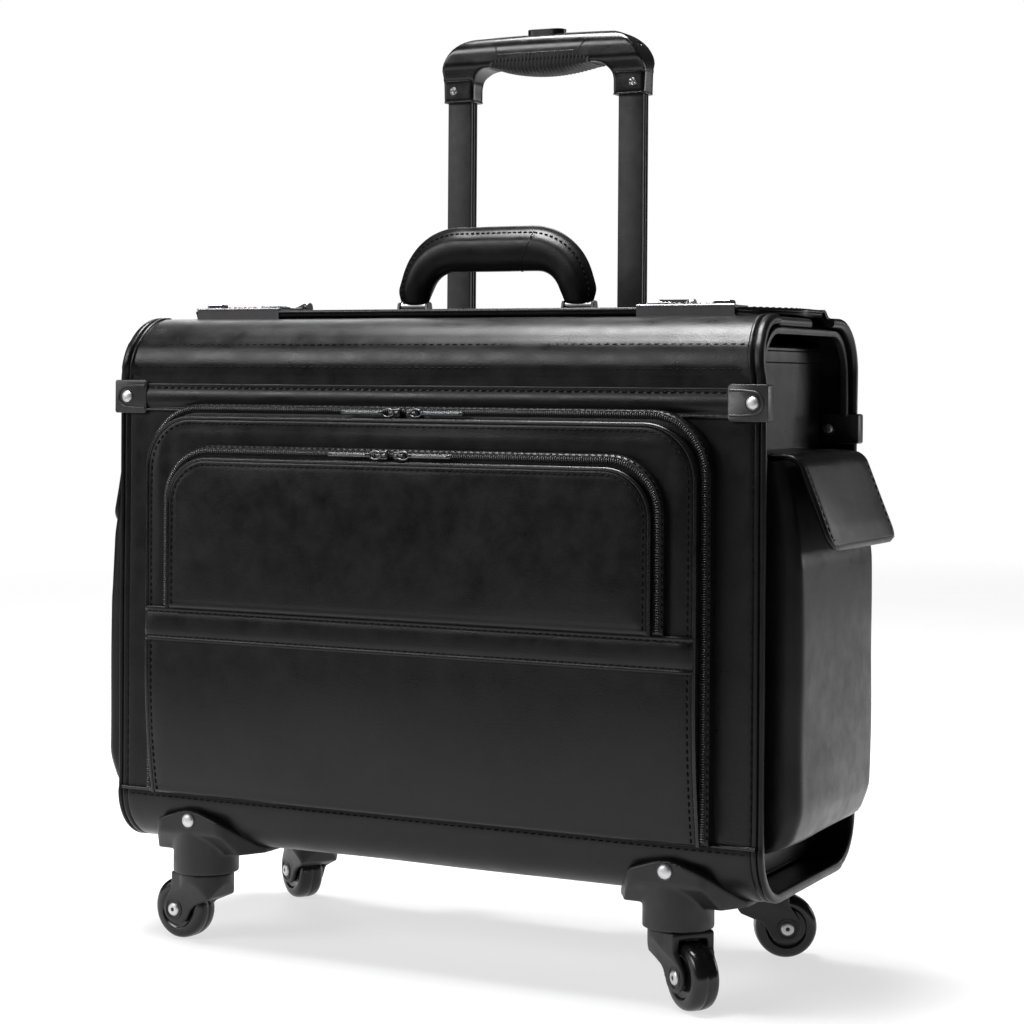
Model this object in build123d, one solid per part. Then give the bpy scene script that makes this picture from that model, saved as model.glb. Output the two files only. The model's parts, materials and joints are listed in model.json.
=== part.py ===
from build123d import *
import os
from math import cos, radians, sin

# Rolling laptop case (pilot case): a leather-covered box on four swivel casters, with a
# front lid, a top lid that carries two combination locks and the carry handle, zipped front
# pockets, flapped side pockets and a two-stage trolley behind the back panel.
# Frame: X across the case (+X right), -Y is the front, +Z up, the origin on the floor under
# the middle of the case. Millimetres.

# ---- driving dimensions -------------------------------------------------------------------
case_width = 470.0
case_depth = 172.0
case_top = 423.0
ground_clearance = 66.0
bottom_radius = 34.0
shoulder_radius = 35.0
board_thickness = 5.0
side_recess = 23.0
side_panel_thickness = 3.0
side_panel_top = 403.0

front_hinge_height = 382.3
front_lid_rear_edge = -47.5
front_lid_top_half_width = 229.5
top_lid_front_edge = -46.0
top_lid_rear_edge = 45.7
top_lid_half_width = 226.0
top_lid_front_half_width = 200.8
top_lid_corner_y = 6.0
top_lid_underside = 423.3
top_lid_thickness = 5.7

frame_gap = 7.0
frame_thickness = 4.0
frame_inner_x = 226.0
frame_outer_x = 231.0
rest_rear_edge = 18.0
rest_inner_x = 213.0
rest_outer_x = 229.5

clip_width = 23.0
clip_sheet = 1.8
front_clip_span = (358.3, 380.8)
rear_clip_span = (342.0, 361.7)
clip_rivet_inset = 7.1

lock_inner_x = 133.0
lock_outer_x = 199.5
lock_front = -46.6
lock_rear = -23.4
lock_floor = 420.3
lock_top = 430.2
dial_radius = 5.2
dial_width = 5.0
dial_centres = (162.0, 170.0, 178.0)
dial_axis_y = -35.0
dial_axis_z = 426.2
hasp_centre_x = 144.5
hasp_axis_y = -7.0
hasp_axis_z = 432.7

handle_axis_y = 18.0
handle_axis_z = 433.5
handle_top = 486.0
handle_underside = 456.0
handle_depth = 17.0
foot_centre_x = 63.0
foot_radius = 4.1

tube_x = 67.3
tube_y = 95.0
outer_tube = (24.4, 16.0, 1.2)
middle_tube = (21.4, 13.0, 0.9)
inner_tube = (19.0, 10.6, 1.1)
outer_tube_span = (104.0, 388.0)
middle_tube_span = (108.0, 390.0)
inner_tube_span = (294.5, 597.0)
grip_top = 626.0
grip_underside = 605.0
grip_half_width = 80.5
sleeve_bottom = 581.5
sleeve_inner_x = 55.0
grip_depth = 28.0

pocket_bottom = 102.6
large_step_top = 365.0
large_panel_top = 356.5
large_panel_front = -108.0
large_step_front = -97.0
small_bottom = 230.0
small_step_top = 338.0
small_panel_top = 329.5
small_step_front = -113.0
small_panel_front = -120.0

side_pocket_x = 254.0
side_pocket_half_length = 70.0
side_pocket_bottom = 94.0
side_flap_z = 338.6
side_flap_lip_z = 280.5
# x of each flap's bend and lip
side_flap_right_x = (248.0, 271.0)
side_flap_left_x = (249.0, 259.5)
side_flap_half_length = 62.0

caster_x = 174.0
caster_y = 68.6
caster_trail = 18.0
wheel_radius = 20.75
wheel_width = 18.0
fork_outer_half = 12.5
fork_gap_half = 9.7
crown_top = 47.2
housing_bottom = 47.5
housing_front = -91.0
# name: side of the case, end of the case, direction in which the wheel trails (degrees from +X)
casters = {
    "front_left": (-1, -1, 174.0),
    "front_right": (1, -1, -38.0),
    "rear_left": (-1, 1, 146.0),
    "rear_right": (1, 1, 28.0),
}

half_width = case_width / 2
half_depth = case_depth / 2
side_face_x = half_width - side_recess
top_lid_top = top_lid_underside + top_lid_thickness


# ---- helpers ------------------------------------------------------------------------------
def box(x_span, y_span, z_span):
    size = [high - low for low, high in (x_span, y_span, z_span)]
    centre = [(high + low) / 2 for low, high in (x_span, y_span, z_span)]
    return Pos(*centre) * Box(*size)


def rounded_face(points, radii):
    """Closed outline with a radius at each corner; 0 leaves the corner sharp."""
    face = make_face(Polyline(*points, close=True))
    for point, radius in zip(points, radii):
        if radius:
            corner = face.vertices().sort_by_distance(Vector(*point))[0]
            face = fillet(corner, radius)
    return face


def prism_x(points, radii, x_span):
    """Outline given in (y, z), drawn out along X."""
    face = Plane.YZ * rounded_face(points, radii)
    return Pos(x_span[0], 0, 0) * extrude(face, amount=x_span[1] - x_span[0], dir=(1, 0, 0))


def prism_y(points, radii, y_span):
    """Outline given in (x, z), drawn out along Y."""
    face = Plane.XZ * rounded_face(points, radii)
    return Pos(0, y_span[0], 0) * extrude(face, amount=y_span[1] - y_span[0], dir=(0, 1, 0))


def prism_z(points, radii, z_span):
    """Outline given in (x, y), drawn out along Z."""
    face = rounded_face(points, radii)
    return Pos(0, 0, z_span[0]) * extrude(face, amount=z_span[1] - z_span[0], dir=(0, 0, 1))


def rod_x(radius, x_span, y, z):
    length = x_span[1] - x_span[0]
    return Pos(sum(x_span) / 2, y, z) * Rot(0, 90, 0) * Cylinder(radius, length)


def rod_y(radius, y_span, x, z):
    length = y_span[1] - y_span[0]
    return Pos(x, sum(y_span) / 2, z) * Rot(90, 0, 0) * Cylinder(radius, length)


def rod_z(radius, z_span, x, y):
    return Pos(x, y, sum(z_span) / 2) * Cylinder(radius, z_span[1] - z_span[0])


def both_sides(shape):
    return [shape, mirror(shape, about=Plane.YZ)]


def save(name, *shapes):
    solids = [solid for shape in shapes for solid in shape.solids()]
    node = solids[0] if len(solids) == 1 else Compound(children=solids)
    export_step(node, f"parts/{name}.step")


def save_sides(name, shape):
    """One node for the right side and its mirror image for the left."""
    save(f"{name}_right", shape)
    save(f"{name}_left", mirror(shape, about=Plane.YZ))


def case_block(inset, x_half):
    """The case's rounded block, its outline moved in by inset."""
    side = half_depth - inset
    low = ground_clearance + inset
    high = case_top - inset
    corners = [(-side, low), (side, low), (side, high), (-side, high)]
    radii = [bottom_radius - inset] * 2 + [shoulder_radius - inset] * 2
    return prism_x(corners, radii, (-x_half, x_half))


def dome(radius, height):
    """Rivet head standing on the XY plane."""
    ball = (radius**2 + height**2) / (2 * height)
    cap = Pos(0, 0, height - ball) * Sphere(ball)
    return cap & Pos(0, 0, height) * Box(4 * radius, 4 * radius, 2 * height)


# ---- case shell ---------------------------------------------------------------------------
outer_block = case_block(0, half_width)
shell = outer_block - case_block(board_thickness, half_width + 1)
body_split = front_hinge_height - 0.8
shoulder_start = 36.0


def body_wrap():
    mouth = box((-half_width - 1, half_width + 1), (-half_depth - 1, shoulder_start),
                (body_split, case_top + 1))
    return shell - mouth


def front_lid():
    keep = box((-half_width - 1, half_width + 1), (-half_depth - 1, front_lid_rear_edge),
               (front_hinge_height, case_top + 1))
    low, high = front_hinge_height, case_top + 1
    top = front_lid_top_half_width
    taper = prism_y([(-half_width, low), (half_width, low), (top, high), (-top, high)],
                    [0, 0, 0, 0], (-half_depth - 1, 0))
    return shell & keep & taper


def side_panel():
    """Right side panel, set back from the shell's edge, clear of both lids."""
    x_span = (side_face_x - side_panel_thickness, side_face_x)
    y_span = (-half_depth, half_depth)
    low = case_block(board_thickness, half_width) & box(x_span, y_span, (0, body_split - 1))
    high = case_block(board_thickness + 1, half_width) & box(x_span, y_span,
                                                             (body_split - 1, side_panel_top))
    return low + high


def mouth_frame():
    """Right flat-bar arch around the mouth, standing on the corner clips."""
    x_span = (frame_inner_x, frame_outer_x)
    arch = case_block(frame_gap, half_width) - case_block(frame_gap + frame_thickness, half_width)
    front = box(x_span, (-half_depth, 0), (front_clip_span[0], case_top))
    rear = box(x_span, (0, half_depth), (rear_clip_span[1] - 1.7, case_top))
    return arch & (front + rear)


def lid_rest():
    """Right tongue on top of the arch, on which the top lid lies."""
    corners = [(rest_inner_x, top_lid_front_edge), (rest_outer_x, top_lid_front_edge),
               (rest_outer_x, rest_rear_edge), (rest_inner_x, rest_rear_edge)]
    return prism_z(corners, [0, 0, 6, 3], (case_top - frame_gap, top_lid_underside - 0.6))


def corner_clip(z_span, face):
    """Right U-shaped clip hooked over the shell's side edge; face is -1 front, 1 rear."""
    inner_y = half_depth - frame_gap
    outer_y = half_depth + clip_sheet + 1
    x_span = (half_width - clip_width, half_width + clip_sheet + 1)
    y_span = sorted((face * inner_y, face * outer_y))
    body = box(x_span, y_span, z_span)
    board = sorted((face * (half_depth - board_thickness), face * half_depth))
    return body - box((0, half_width), board, z_span)


def clip_rivet(z_span, face):
    """Dome head on the clip's outer leg and the closed head on its inner leg."""
    x = half_width - clip_rivet_inset
    z = sum(z_span) / 2
    outer = Pos(x, face * (half_depth + clip_sheet + 1), z) * Rot(-90 * face, 0, 0) * dome(4.2, 2)
    inner_x = half_width - 18.0
    inner_y = face * (half_depth - frame_gap)
    inner = Pos(inner_x, inner_y, z) * Rot(90 * face, 0, 0) * dome(3.4, 1.4)
    return [outer, inner]


# ---- interior -----------------------------------------------------------------------------
board_half_x = side_face_x - side_panel_thickness - 2


def base_board():
    flat = half_depth - bottom_radius
    low = ground_clearance + board_thickness
    return box((-board_half_x, board_half_x), (-flat, flat), (low, low + 4))


def upright_board(y_span, top):
    low = ground_clearance + board_thickness + 4
    corners = [(-board_half_x, low), (board_half_x, low), (board_half_x, top), (-board_half_x, top)]
    return prism_y(corners, [0, 0, 25, 25], y_span)


# ---- front pockets ------------------------------------------------------------------------
def pocket_block(half_x, low, high, radius, y_profile):
    """Rounded-top pocket tier; y_profile is its (y, z) section."""
    front = [(-half_x, low), (half_x, low), (half_x, high), (-half_x, high)]
    deep = prism_y(front, [2, 2, radius, radius], (small_panel_front - 5, -half_depth))
    return deep & prism_x(y_profile, [0] * len(y_profile), (-half_x - 1, half_x + 1))


def front_pocket_large():
    step = pocket_block(204.0, pocket_bottom, large_step_top, 40,
                        [(-half_depth, 80), (large_step_front, 80), (large_step_front, 380),
                         (-half_depth, 380)])
    front_foot = large_step_front - 2.5
    panel = pocket_block(198.5, pocket_bottom, large_panel_top, 34,
                         [(-half_depth, 80), (front_foot, 80), (front_foot, pocket_bottom),
                          (-106, 160), (large_panel_front, 220), (large_panel_front, 380),
                          (-half_depth, 380)])
    return step + panel


def front_pocket_small():
    back = large_panel_front
    step = pocket_block(180.5, small_bottom, small_step_top, 36,
                        [(back, 200), (small_step_front, 200), (small_step_front, 360),
                         (back, 360)])
    panel = pocket_block(174.0, small_bottom, small_panel_top, 30,
                         [(back, 200), (small_panel_front, 200), (small_panel_front, 360),
                          (back, 360)])
    return step + panel


def zipper(half_x, low, top, radius, face_y):
    """Zip track, an arch 5 mm wide on the pocket's step."""
    def arch(inset):
        points = [(-half_x + inset, low), (half_x - inset, low), (half_x - inset, top - inset),
                  (-half_x + inset, top - inset)]
        return prism_y(points, [0, 0, radius - inset, radius - inset], (face_y - 1.8, face_y))
    return arch(0) - arch(4.2)


def zip_slider(x, z, face_y, pull_direction):
    """Slider with its pull lying along the zip; pull_direction is -1 or 1 along X."""
    back = face_y - 2.1
    body = box((x - 4.5, x + 4.5), (back - 3.2, back), (z - 3.0, z + 3.0))
    neck = box((x - 1.8, x + 1.8), (back - 4.6, back - 3.2), (z - 1.0, z + 1.0))
    ends = sorted((x - pull_direction * 1.8, x + pull_direction * 38.0))
    pull = box(ends, (back - 5.6, back - 4.4), (z - 1.4, z + 1.4))
    return body + neck + pull


# ---- side pockets -------------------------------------------------------------------------
def side_pocket():
    """Right side pocket, open at the top under its flap."""
    low = side_pocket_bottom
    mouth = side_flap_z - 4.8
    outer = [(side_face_x, low + 6), (side_face_x + 13, low), (side_pocket_x - 6, low + 8),
             (side_pocket_x, low + 28), (side_pocket_x, mouth - 58),
             (side_pocket_x - 6.5, mouth - 22), (side_pocket_x - 13, mouth), (side_face_x, mouth)]
    inner = [(side_face_x + 2, low + 10), (side_face_x + 13, low + 4),
             (side_pocket_x - 8, low + 12), (side_pocket_x - 3, low + 29),
             (side_pocket_x - 3, mouth - 59), (side_pocket_x - 9.5, mouth - 23),
             (side_pocket_x - 17.5, mouth + 5), (side_face_x + 2, mouth + 5)]
    half = side_pocket_half_length
    shape = prism_y(outer, [0, 8, 10, 20, 30, 20, 0, 0], (-half, half))
    return shape - prism_y(inner, [0, 5, 7, 17, 30, 20, 0, 0], (3 - half, half - 3))


def side_flap(bend, lip_x):
    """Right flap, hinged on the side panel and bent down over the pocket's mouth."""
    root = side_face_x + 0.6
    top, lip_z = side_flap_z, side_flap_lip_z
    section = [(root, top), (bend, top), (lip_x, lip_z), (lip_x - 3.7, lip_z - 1.6),
               (bend - 2.6, top - 4), (root, top - 4)]
    half = side_flap_half_length
    flap = prism_y(section, [0, 9, 1, 0, 5, 0], (-half, half))
    outline = [(root, -half), (300, -half), (300, half), (root, half)]
    return flap & prism_z(outline, [0, 0, 0, 0], (200, 400))


# ---- top lid, locks and carry handle ------------------------------------------------------
def lock_footprint(grow=0.0):
    return box((lock_inner_x - grow, lock_outer_x + grow), (lock_front - 1, lock_rear + grow),
               (lock_floor - 1, lock_top + 1))


def top_lid():
    x, front, rear = top_lid_half_width, top_lid_front_edge, top_lid_rear_edge
    narrow, corner = top_lid_front_half_width, top_lid_corner_y
    corners = [(-narrow, front), (narrow, front), (x, corner), (x, rear), (-x, rear), (-x, corner)]
    lid = prism_z(corners, [3, 3, 30, 5, 5, 30], (top_lid_underside, top_lid_top))
    for footprint in both_sides(lock_footprint()):
        lid -= footprint
    return lid


def lock_case():
    """Right lock: case with dial and slide slots, dial pin, hinge plate and hasp pin."""
    case = box((lock_inner_x, lock_outer_x), (lock_front, lock_rear), (lock_floor, lock_top))
    for centre in dial_centres:
        half = dial_width / 2 + 0.4
        case -= box((centre - half, centre + half), (dial_axis_y - 5.8, dial_axis_y + 5.8),
                    (lock_floor - 1, lock_top + 1))
    case -= box((184.5, 194.5), (-38.4, -35.6), (lock_top - 4, lock_top + 1))
    case += rod_x(0.9, (dial_centres[0] - 5, dial_centres[-1] + 5), dial_axis_y, dial_axis_z)
    plate = box((lock_inner_x, 156.0), (lock_rear, -2.0), (top_lid_top, lock_top))
    lug_outline = [(-11.0, lock_top - 0.5), (-3.0, lock_top - 0.5), (-3.0, 435.2), (-11.0, 435.2)]
    lugs = [prism_x(lug_outline, [0, 0, 3.5, 3.5], span) for span in ((132.4, 134.0), (155.0, 156.6))]
    pin = rod_x(1.1, (132.4, 156.6), hasp_axis_y, hasp_axis_z)
    return case + plate + lugs[0] + lugs[1] + pin


def dial(centre):
    wheel = rod_x(dial_radius, (centre - dial_width / 2, centre + dial_width / 2),
                  dial_axis_y, dial_axis_z)
    return wheel - rod_x(0.98, (centre - 6, centre + 6), dial_axis_y, dial_axis_z)


def lock_slide():
    """Right slide button with its stem in the slot; it travels outward."""
    outline = [(182.3, lock_top + 0.3), (195.5, lock_top + 0.3), (194.5, 433.4), (183.3, 433.4)]
    button = prism_y(outline, [0, 0, 1, 1], (-41.0, -33.0))
    return button + box((185.0, 190.5), (-38.1, -35.9), (lock_top - 3.5, lock_top + 0.4))


def hasp():
    """Right hasp: barrel on its pin, thumb ramp and round tongue over the lock case."""
    low, high = lock_top + 0.6, lock_top + 2.2
    x_span = (hasp_centre_x - 10, hasp_centre_x + 10)
    plate = box(x_span, (-31.0, hasp_axis_y), (low, high))
    disc = rod_z(10.0, (low, high), hasp_centre_x, -31.0)
    ramp = prism_x([(-20.0, high - 0.2), (-10.5, high - 0.2), (-10.5, 435.2)], [0, 0, 0.8], x_span)
    barrel = rod_x(2.3, x_span, hasp_axis_y, hasp_axis_z)
    return plate + disc + ramp + barrel - rod_x(1.18, (130, 160), hasp_axis_y, hasp_axis_z)


def handle_mount():
    """Right pair of lugs on the top lid with the pin on which the handle turns."""
    lug = [(13.5, top_lid_top), (22.5, top_lid_top), (20.8, 436.0), (15.2, 436.0)]
    spans = ((foot_centre_x - 12.0, foot_centre_x - 10.0), (foot_centre_x + 10.0, foot_centre_x + 12.0))
    lugs = [prism_x(lug, [0, 0, 2.4, 2.4], span) for span in spans]
    pin = rod_x(1.5, (spans[0][0], spans[1][1]), handle_axis_y, handle_axis_z)
    return lugs[0] + lugs[1] + pin


def handle_loop():
    """Right steel barrel sewn into the handle's foot."""
    span = (foot_centre_x - 9.5, foot_centre_x + 9.5)
    return (rod_x(2.5, span, handle_axis_y, handle_axis_z)
            - rod_x(1.58, (span[0] - 1, span[1] + 1), handle_axis_y, handle_axis_z))


def carry_handle():
    low = handle_axis_z
    outer = [(-73.0, low), (-60.5, handle_top), (60.5, handle_top), (73.0, low)]
    inner = [(-53.0, low - 1), (-43.5, handle_underside), (43.5, handle_underside), (53.0, low - 1)]
    y_span = (handle_axis_y - handle_depth / 2, handle_axis_y + handle_depth / 2)
    arch = prism_y(outer, [0, 38, 38, 0], y_span)
    arch -= prism_y(inner, [0, 17, 17, 0], (y_span[0] - 1, y_span[1] + 1))
    waist = low + 20
    section = [(handle_axis_y - foot_radius, low), (handle_axis_y + foot_radius, low),
               (y_span[1], waist), (y_span[1], handle_top), (y_span[0], handle_top),
               (y_span[0], waist)]
    arch &= prism_x(section, [0, 0, 0, 7, 7, 0], (-80, 80))
    span = (foot_centre_x - 9.5, foot_centre_x + 9.5)
    for foot in both_sides(rod_x(foot_radius, span, handle_axis_y, low)):
        arch += foot
    lug_room = [box(x_span, (0, 40), (low - 10, low + 6.5))
                for x_span in ((40.0, span[0]), (span[1], 90.0))]
    cuts = [rod_x(2.5, (45, 80), handle_axis_y, low)] + lug_room
    for cut in cuts:
        for side in both_sides(cut):
            arch -= side
    return arch


# ---- trolley ------------------------------------------------------------------------------
def tube(section, z_span):
    """Right rectangular tube given as (width, depth, wall)."""
    width, depth, wall = section
    x_span = (tube_x - width / 2, tube_x + width / 2)
    y_span = (tube_y - depth / 2, tube_y + depth / 2)
    hollow = box((x_span[0] + wall, x_span[1] - wall), (y_span[0] + wall, y_span[1] - wall),
                 (z_span[0] - 1, z_span[1] + 1))
    return box(x_span, y_span, z_span) - hollow


def tube_solid(section, z_span, grow=0.0):
    width, depth = section[0] / 2 + grow, section[1] / 2 + grow
    return box((tube_x - width, tube_x + width), (tube_y - depth, tube_y + depth), z_span)


def trolley_housing(z_span):
    """Block on the back panel that holds both outer tubes."""
    cheek = box((tube_x - 15, tube_x + 15), (half_depth, tube_y + 10.5), z_span)
    bridge = box((-tube_x, tube_x), (half_depth, half_depth + 6), z_span)
    housing = bridge
    for side in both_sides(cheek):
        housing += side
    for side in both_sides(tube_solid(outer_tube, outer_tube_span)):
        housing -= side
    return housing


def middle_collar():
    low = outer_tube_span[1] + 0.4
    collar = tube_solid(outer_tube, (low, low + 8), 0.6)
    collar -= tube_solid(middle_tube, (low - 1, middle_tube_span[1]))
    return collar - tube_solid(inner_tube, (low - 1, low + 9), 0.3)


def grip():
    """Moulded grip: two sleeves over the inner tubes and the bar between them."""
    x = grip_half_width
    outline = [(-x + 2, sleeve_bottom), (-x, grip_top), (x, grip_top), (x - 2, sleeve_bottom),
               (sleeve_inner_x, sleeve_bottom), (sleeve_inner_x, grip_underside),
               (-sleeve_inner_x, grip_underside), (-sleeve_inner_x, sleeve_bottom)]
    radii = [1, 28, 28, 1, 1, 13, 13, 1]
    front, rear = tube_y - grip_depth / 2, tube_y + grip_depth / 2
    shape = prism_y(outline, radii, (front, rear))
    sleeve_front, sleeve_rear = tube_y - 8.5, tube_y + 8.5
    section = [(sleeve_front, 570.0), (sleeve_rear, 570.0), (sleeve_rear, 598.0), (rear, 607.0),
               (rear, grip_top), (front, grip_top), (front, 607.0), (sleeve_front, 598.0)]
    shape &= prism_x(section, [0, 0, 4, 6, 10, 10, 6, 4], (-x - 1, x + 1))
    shape -= box((-72, 72), (tube_y - 4, tube_y + 4), (609.0, 618.5))
    shape -= Pos(0, tube_y, 621) * extrude(SlotOverall(29.4, 14.8), amount=7, both=True)
    for side in both_sides(tube_solid(inner_tube, (sleeve_bottom - 1, inner_tube_span[1]))):
        shape -= side
    for side in both_sides(rod_z(2.0, (590, 612), tube_x, tube_y)):
        shape -= side
    return shape


def grip_pad():
    """Ribbed soft pad under the bar, lens-shaped from the front."""
    sag = 6.4
    rise = grip_underside - sag
    outline = make_face([ThreePointArc((-39, grip_underside), (0, rise), (39, grip_underside)),
                         Line((39, grip_underside), (-39, grip_underside))])
    face = Plane.XZ * outline
    return Pos(0, tube_y - 11, 0) * extrude(face, amount=22, dir=(0, 1, 0))


def release_button():
    return Pos(0, tube_y, 619.0) * extrude(SlotOverall(28.6, 14.0), amount=12, dir=(0, 0, 1))


def release_bar():
    """Bar under the button and the two rods that it pushes down the tubes."""
    bar = box((-70, 70), (tube_y - 3, tube_y + 3), (614.2, 618.0))
    bar += rod_z(3.0, (617.5, 619.0), 0, tube_y)
    for side in both_sides(rod_z(1.5, (300.0, 615.0), tube_x, tube_y)):
        bar += side
    return bar


# ---- casters ------------------------------------------------------------------------------
def caster_housing():
    """Front right housing: a shoe around the case's lower edge over a round boss."""
    x, y, front = caster_x, -caster_y, housing_front
    plan = [(x - 43, -30.0), (x - 43, -60.0), (x - 25, front), (x + 25, front), (x + 43, -60.0),
            (x + 43, -30.0)]
    shoe = prism_z(plan, [8, 12, 7, 7, 12, 8], (61.5, 93.0))
    outline = [(x - 43, 61.5), (x - 43, 64.5), (x - 25, 84.5), (x, 93.0), (x + 25, 84.5),
               (x + 43, 64.5), (x + 43, 61.5)]
    shoe &= prism_y(outline, [0, 4, 12, 30, 12, 4, 0], (front - 1, -20))
    section = [(front + 13, 61.5), (-20.0, 61.5), (-20.0, 95.0), (front, 95.0), (front, 76.0)]
    shoe &= prism_x(section, [3, 0, 0, 0, 4], (x - 70, x + 50))
    boss = rod_z(22.2, (housing_bottom, 80.0), x, y)
    bore = rod_z(3.5, (40, 62), x, y)
    return shoe + boss - outer_block - bore


def kingpin():
    return rod_z(3.5, (43.5, 62.0), caster_x, -caster_y) + rod_z(4.6, (41.8, 43.6), caster_x, -caster_y)


def fork():
    """Fork built with the wheel trailing along +X and its kingpin on the Z axis."""
    foot = wheel_radius - 9
    crown = [(-19, 41.0), (-19, crown_top), (19, crown_top), (19, 36.0), (caster_trail + 9, 25.0),
             (caster_trail + 9, foot), (caster_trail - 9, foot), (2.5, 24.0), (-13.5, 31.0)]
    cheeks = prism_y(crown, [5, 1, 1, 8, 6, 8.8, 8.8, 12, 4], (-19, 19))
    plan = [(-1.5, -18.9), (caster_trail + 10, -fork_outer_half),
            (caster_trail + 10, fork_outer_half), (-1.5, 18.9)]
    cheeks &= prism_z(plan, [0, 0, 0, 0], (0, 60)) + rod_z(19.0, (0, 60), 0, 0)
    low, half = wheel_radius + 7, fork_outer_half
    section = [(-half, 0), (half, 0), (half, low), (19, 42), (19, 60), (-19, 60), (-19, 42),
               (-half, low)]
    cheeks &= prism_x(section, [0, 0, 20, 8, 0, 0, 8, 20], (-30, 40))
    wheel_well = rod_y(wheel_radius + 1.5, (-fork_gap_half, fork_gap_half), caster_trail, wheel_radius)
    below = box((caster_trail - 9, 60), (-fork_gap_half, fork_gap_half), (0, wheel_radius))
    axle_bore = rod_y(3.0, (-20, 20), caster_trail, wheel_radius)
    pin_bore = rod_z(3.58, (30, 50), 0, 0) + rod_z(5.1, (30, 43.9), 0, 0)
    return cheeks - wheel_well - below - axle_bore - pin_bore


def axle():
    shank = rod_y(3.0, (-fork_outer_half, fork_outer_half), caster_trail, wheel_radius)
    for side in (-1, 1):
        head = Pos(caster_trail, side * fork_outer_half, wheel_radius) * Rot(-90 * side, 0, 0)
        shank += head * dome(4.6, 1.6)
    return shank


def wheel():
    """Tyre and hub as two solids."""
    half = wheel_width / 2
    tread = rod_y(wheel_radius, (-half, half), caster_trail, wheel_radius)
    tread = fillet(tread.edges(), 3.5)
    core = rod_y(14.0, (-half, half), caster_trail, wheel_radius)
    bore = rod_y(3.08, (-half - 1, half + 1), caster_trail, wheel_radius)
    return [tread - core, core - bore]


def at_caster(shapes, name):
    side, end, heading = casters[name]
    place = Pos(side * caster_x, end * caster_y, 0) * Rot(0, 0, heading)
    return [place * shape for shape in shapes]


# ---- write every node ---------------------------------------------------------------------
def main():
    os.makedirs("parts", exist_ok=True)

    save("body_wrap", body_wrap())
    save_sides("side_panel", side_panel())
    save("mouth_frames", *both_sides(mouth_frame()))
    save("lid_rests", *both_sides(lid_rest()))
    clips, rivets = [], []
    for z_span, face in ((front_clip_span, -1), (rear_clip_span, 1)):
        clips += both_sides(corner_clip(z_span, face))
        for head in clip_rivet(z_span, face):
            rivets += both_sides(head)
    caster_rivet = Pos(caster_x, housing_front, ground_clearance + 18.6) * Rot(90, 0, 0) * dome(4.6, 1.8)
    for rivet in both_sides(caster_rivet):
        rivets += [rivet, mirror(rivet, about=Plane.XZ)]
    save("corner_clips", *clips)
    save("body_rivets", *rivets)

    save("base_board", base_board())
    save("center_divider", upright_board((-6, -2), 330))
    save("laptop_partition", upright_board((45, 51), 350))

    save("front_pocket_large", front_pocket_large())
    save("front_pocket_small", front_pocket_small())
    save("zipper_large", zipper(203.3, pocket_bottom + 4, 364.0, 39, large_step_front))
    save("zipper_small", zipper(179.5, small_bottom + 2, 336.5, 35, small_step_front))
    for name, z, face_y in (("large", 361.0, large_step_front), ("small", 334.4, small_step_front)):
        save(f"zip_slider_{name}_left", zip_slider(-11, z, face_y, -1))
        save(f"zip_slider_{name}_right", zip_slider(2, z, face_y, 1))
    save_sides("side_pocket", side_pocket())
    save("side_flap_right", side_flap(*side_flap_right_x))
    save("side_flap_left", mirror(side_flap(*side_flap_left_x), about=Plane.YZ))

    save("front_lid", front_lid())
    lid_inside = case_top - board_thickness
    strike = box((135, 156), (front_lid_rear_edge - 3, front_lid_rear_edge - 0.5),
                 (lid_inside - 8, lid_inside))
    save("lock_strikes", *both_sides(strike))

    save("top_lid", top_lid())
    save_sides("lock_case", lock_case())
    save_sides("lock_slide", lock_slide())
    save_sides("lock_hasp", hasp())
    for number, centre in enumerate(dial_centres, 1):
        save_sides(f"lock_dial_{number}", dial(centre))
    save("handle_mounts", *both_sides(handle_mount()))
    save("handle_loops", *both_sides(handle_loop()))
    save("carry_handle", carry_handle())

    save("trolley_outer_tubes", *both_sides(tube(outer_tube, outer_tube_span)))
    save("trolley_housing", trolley_housing((366.0, outer_tube_span[1])))
    save("trolley_foot_bracket", trolley_housing((outer_tube_span[0] - 4, 116.0)))
    save("trolley_middle_tubes", *both_sides(tube(middle_tube, middle_tube_span)))
    save("trolley_middle_collars", *both_sides(middle_collar()))
    save("trolley_inner_tubes", *both_sides(tube(inner_tube, inner_tube_span)))
    save("trolley_grip", grip())
    save("trolley_grip_pad", grip_pad())
    screw = Pos(tube_x + 3, tube_y - 8.5, 590) * Rot(90, 0, 0) * dome(3.2, 1.2)
    save("grip_screws", *both_sides(screw))
    save("release_button", release_button(), release_bar())

    front_pair = both_sides(caster_housing())
    pin_pair = both_sides(kingpin())
    save("caster_housings", *front_pair, *[mirror(half, about=Plane.XZ) for half in front_pair])
    save("caster_kingpins", *pin_pair, *[mirror(half, about=Plane.XZ) for half in pin_pair])
    for name in casters:
        save(f"caster_fork_{name}", *at_caster([fork(), axle()], name))
        save(f"caster_wheel_{name}", *at_caster(wheel(), name))


main()
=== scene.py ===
import json
import math

import bmesh
import bpy
import numpy as np
from mathutils import Matrix, Vector, noise


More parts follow.
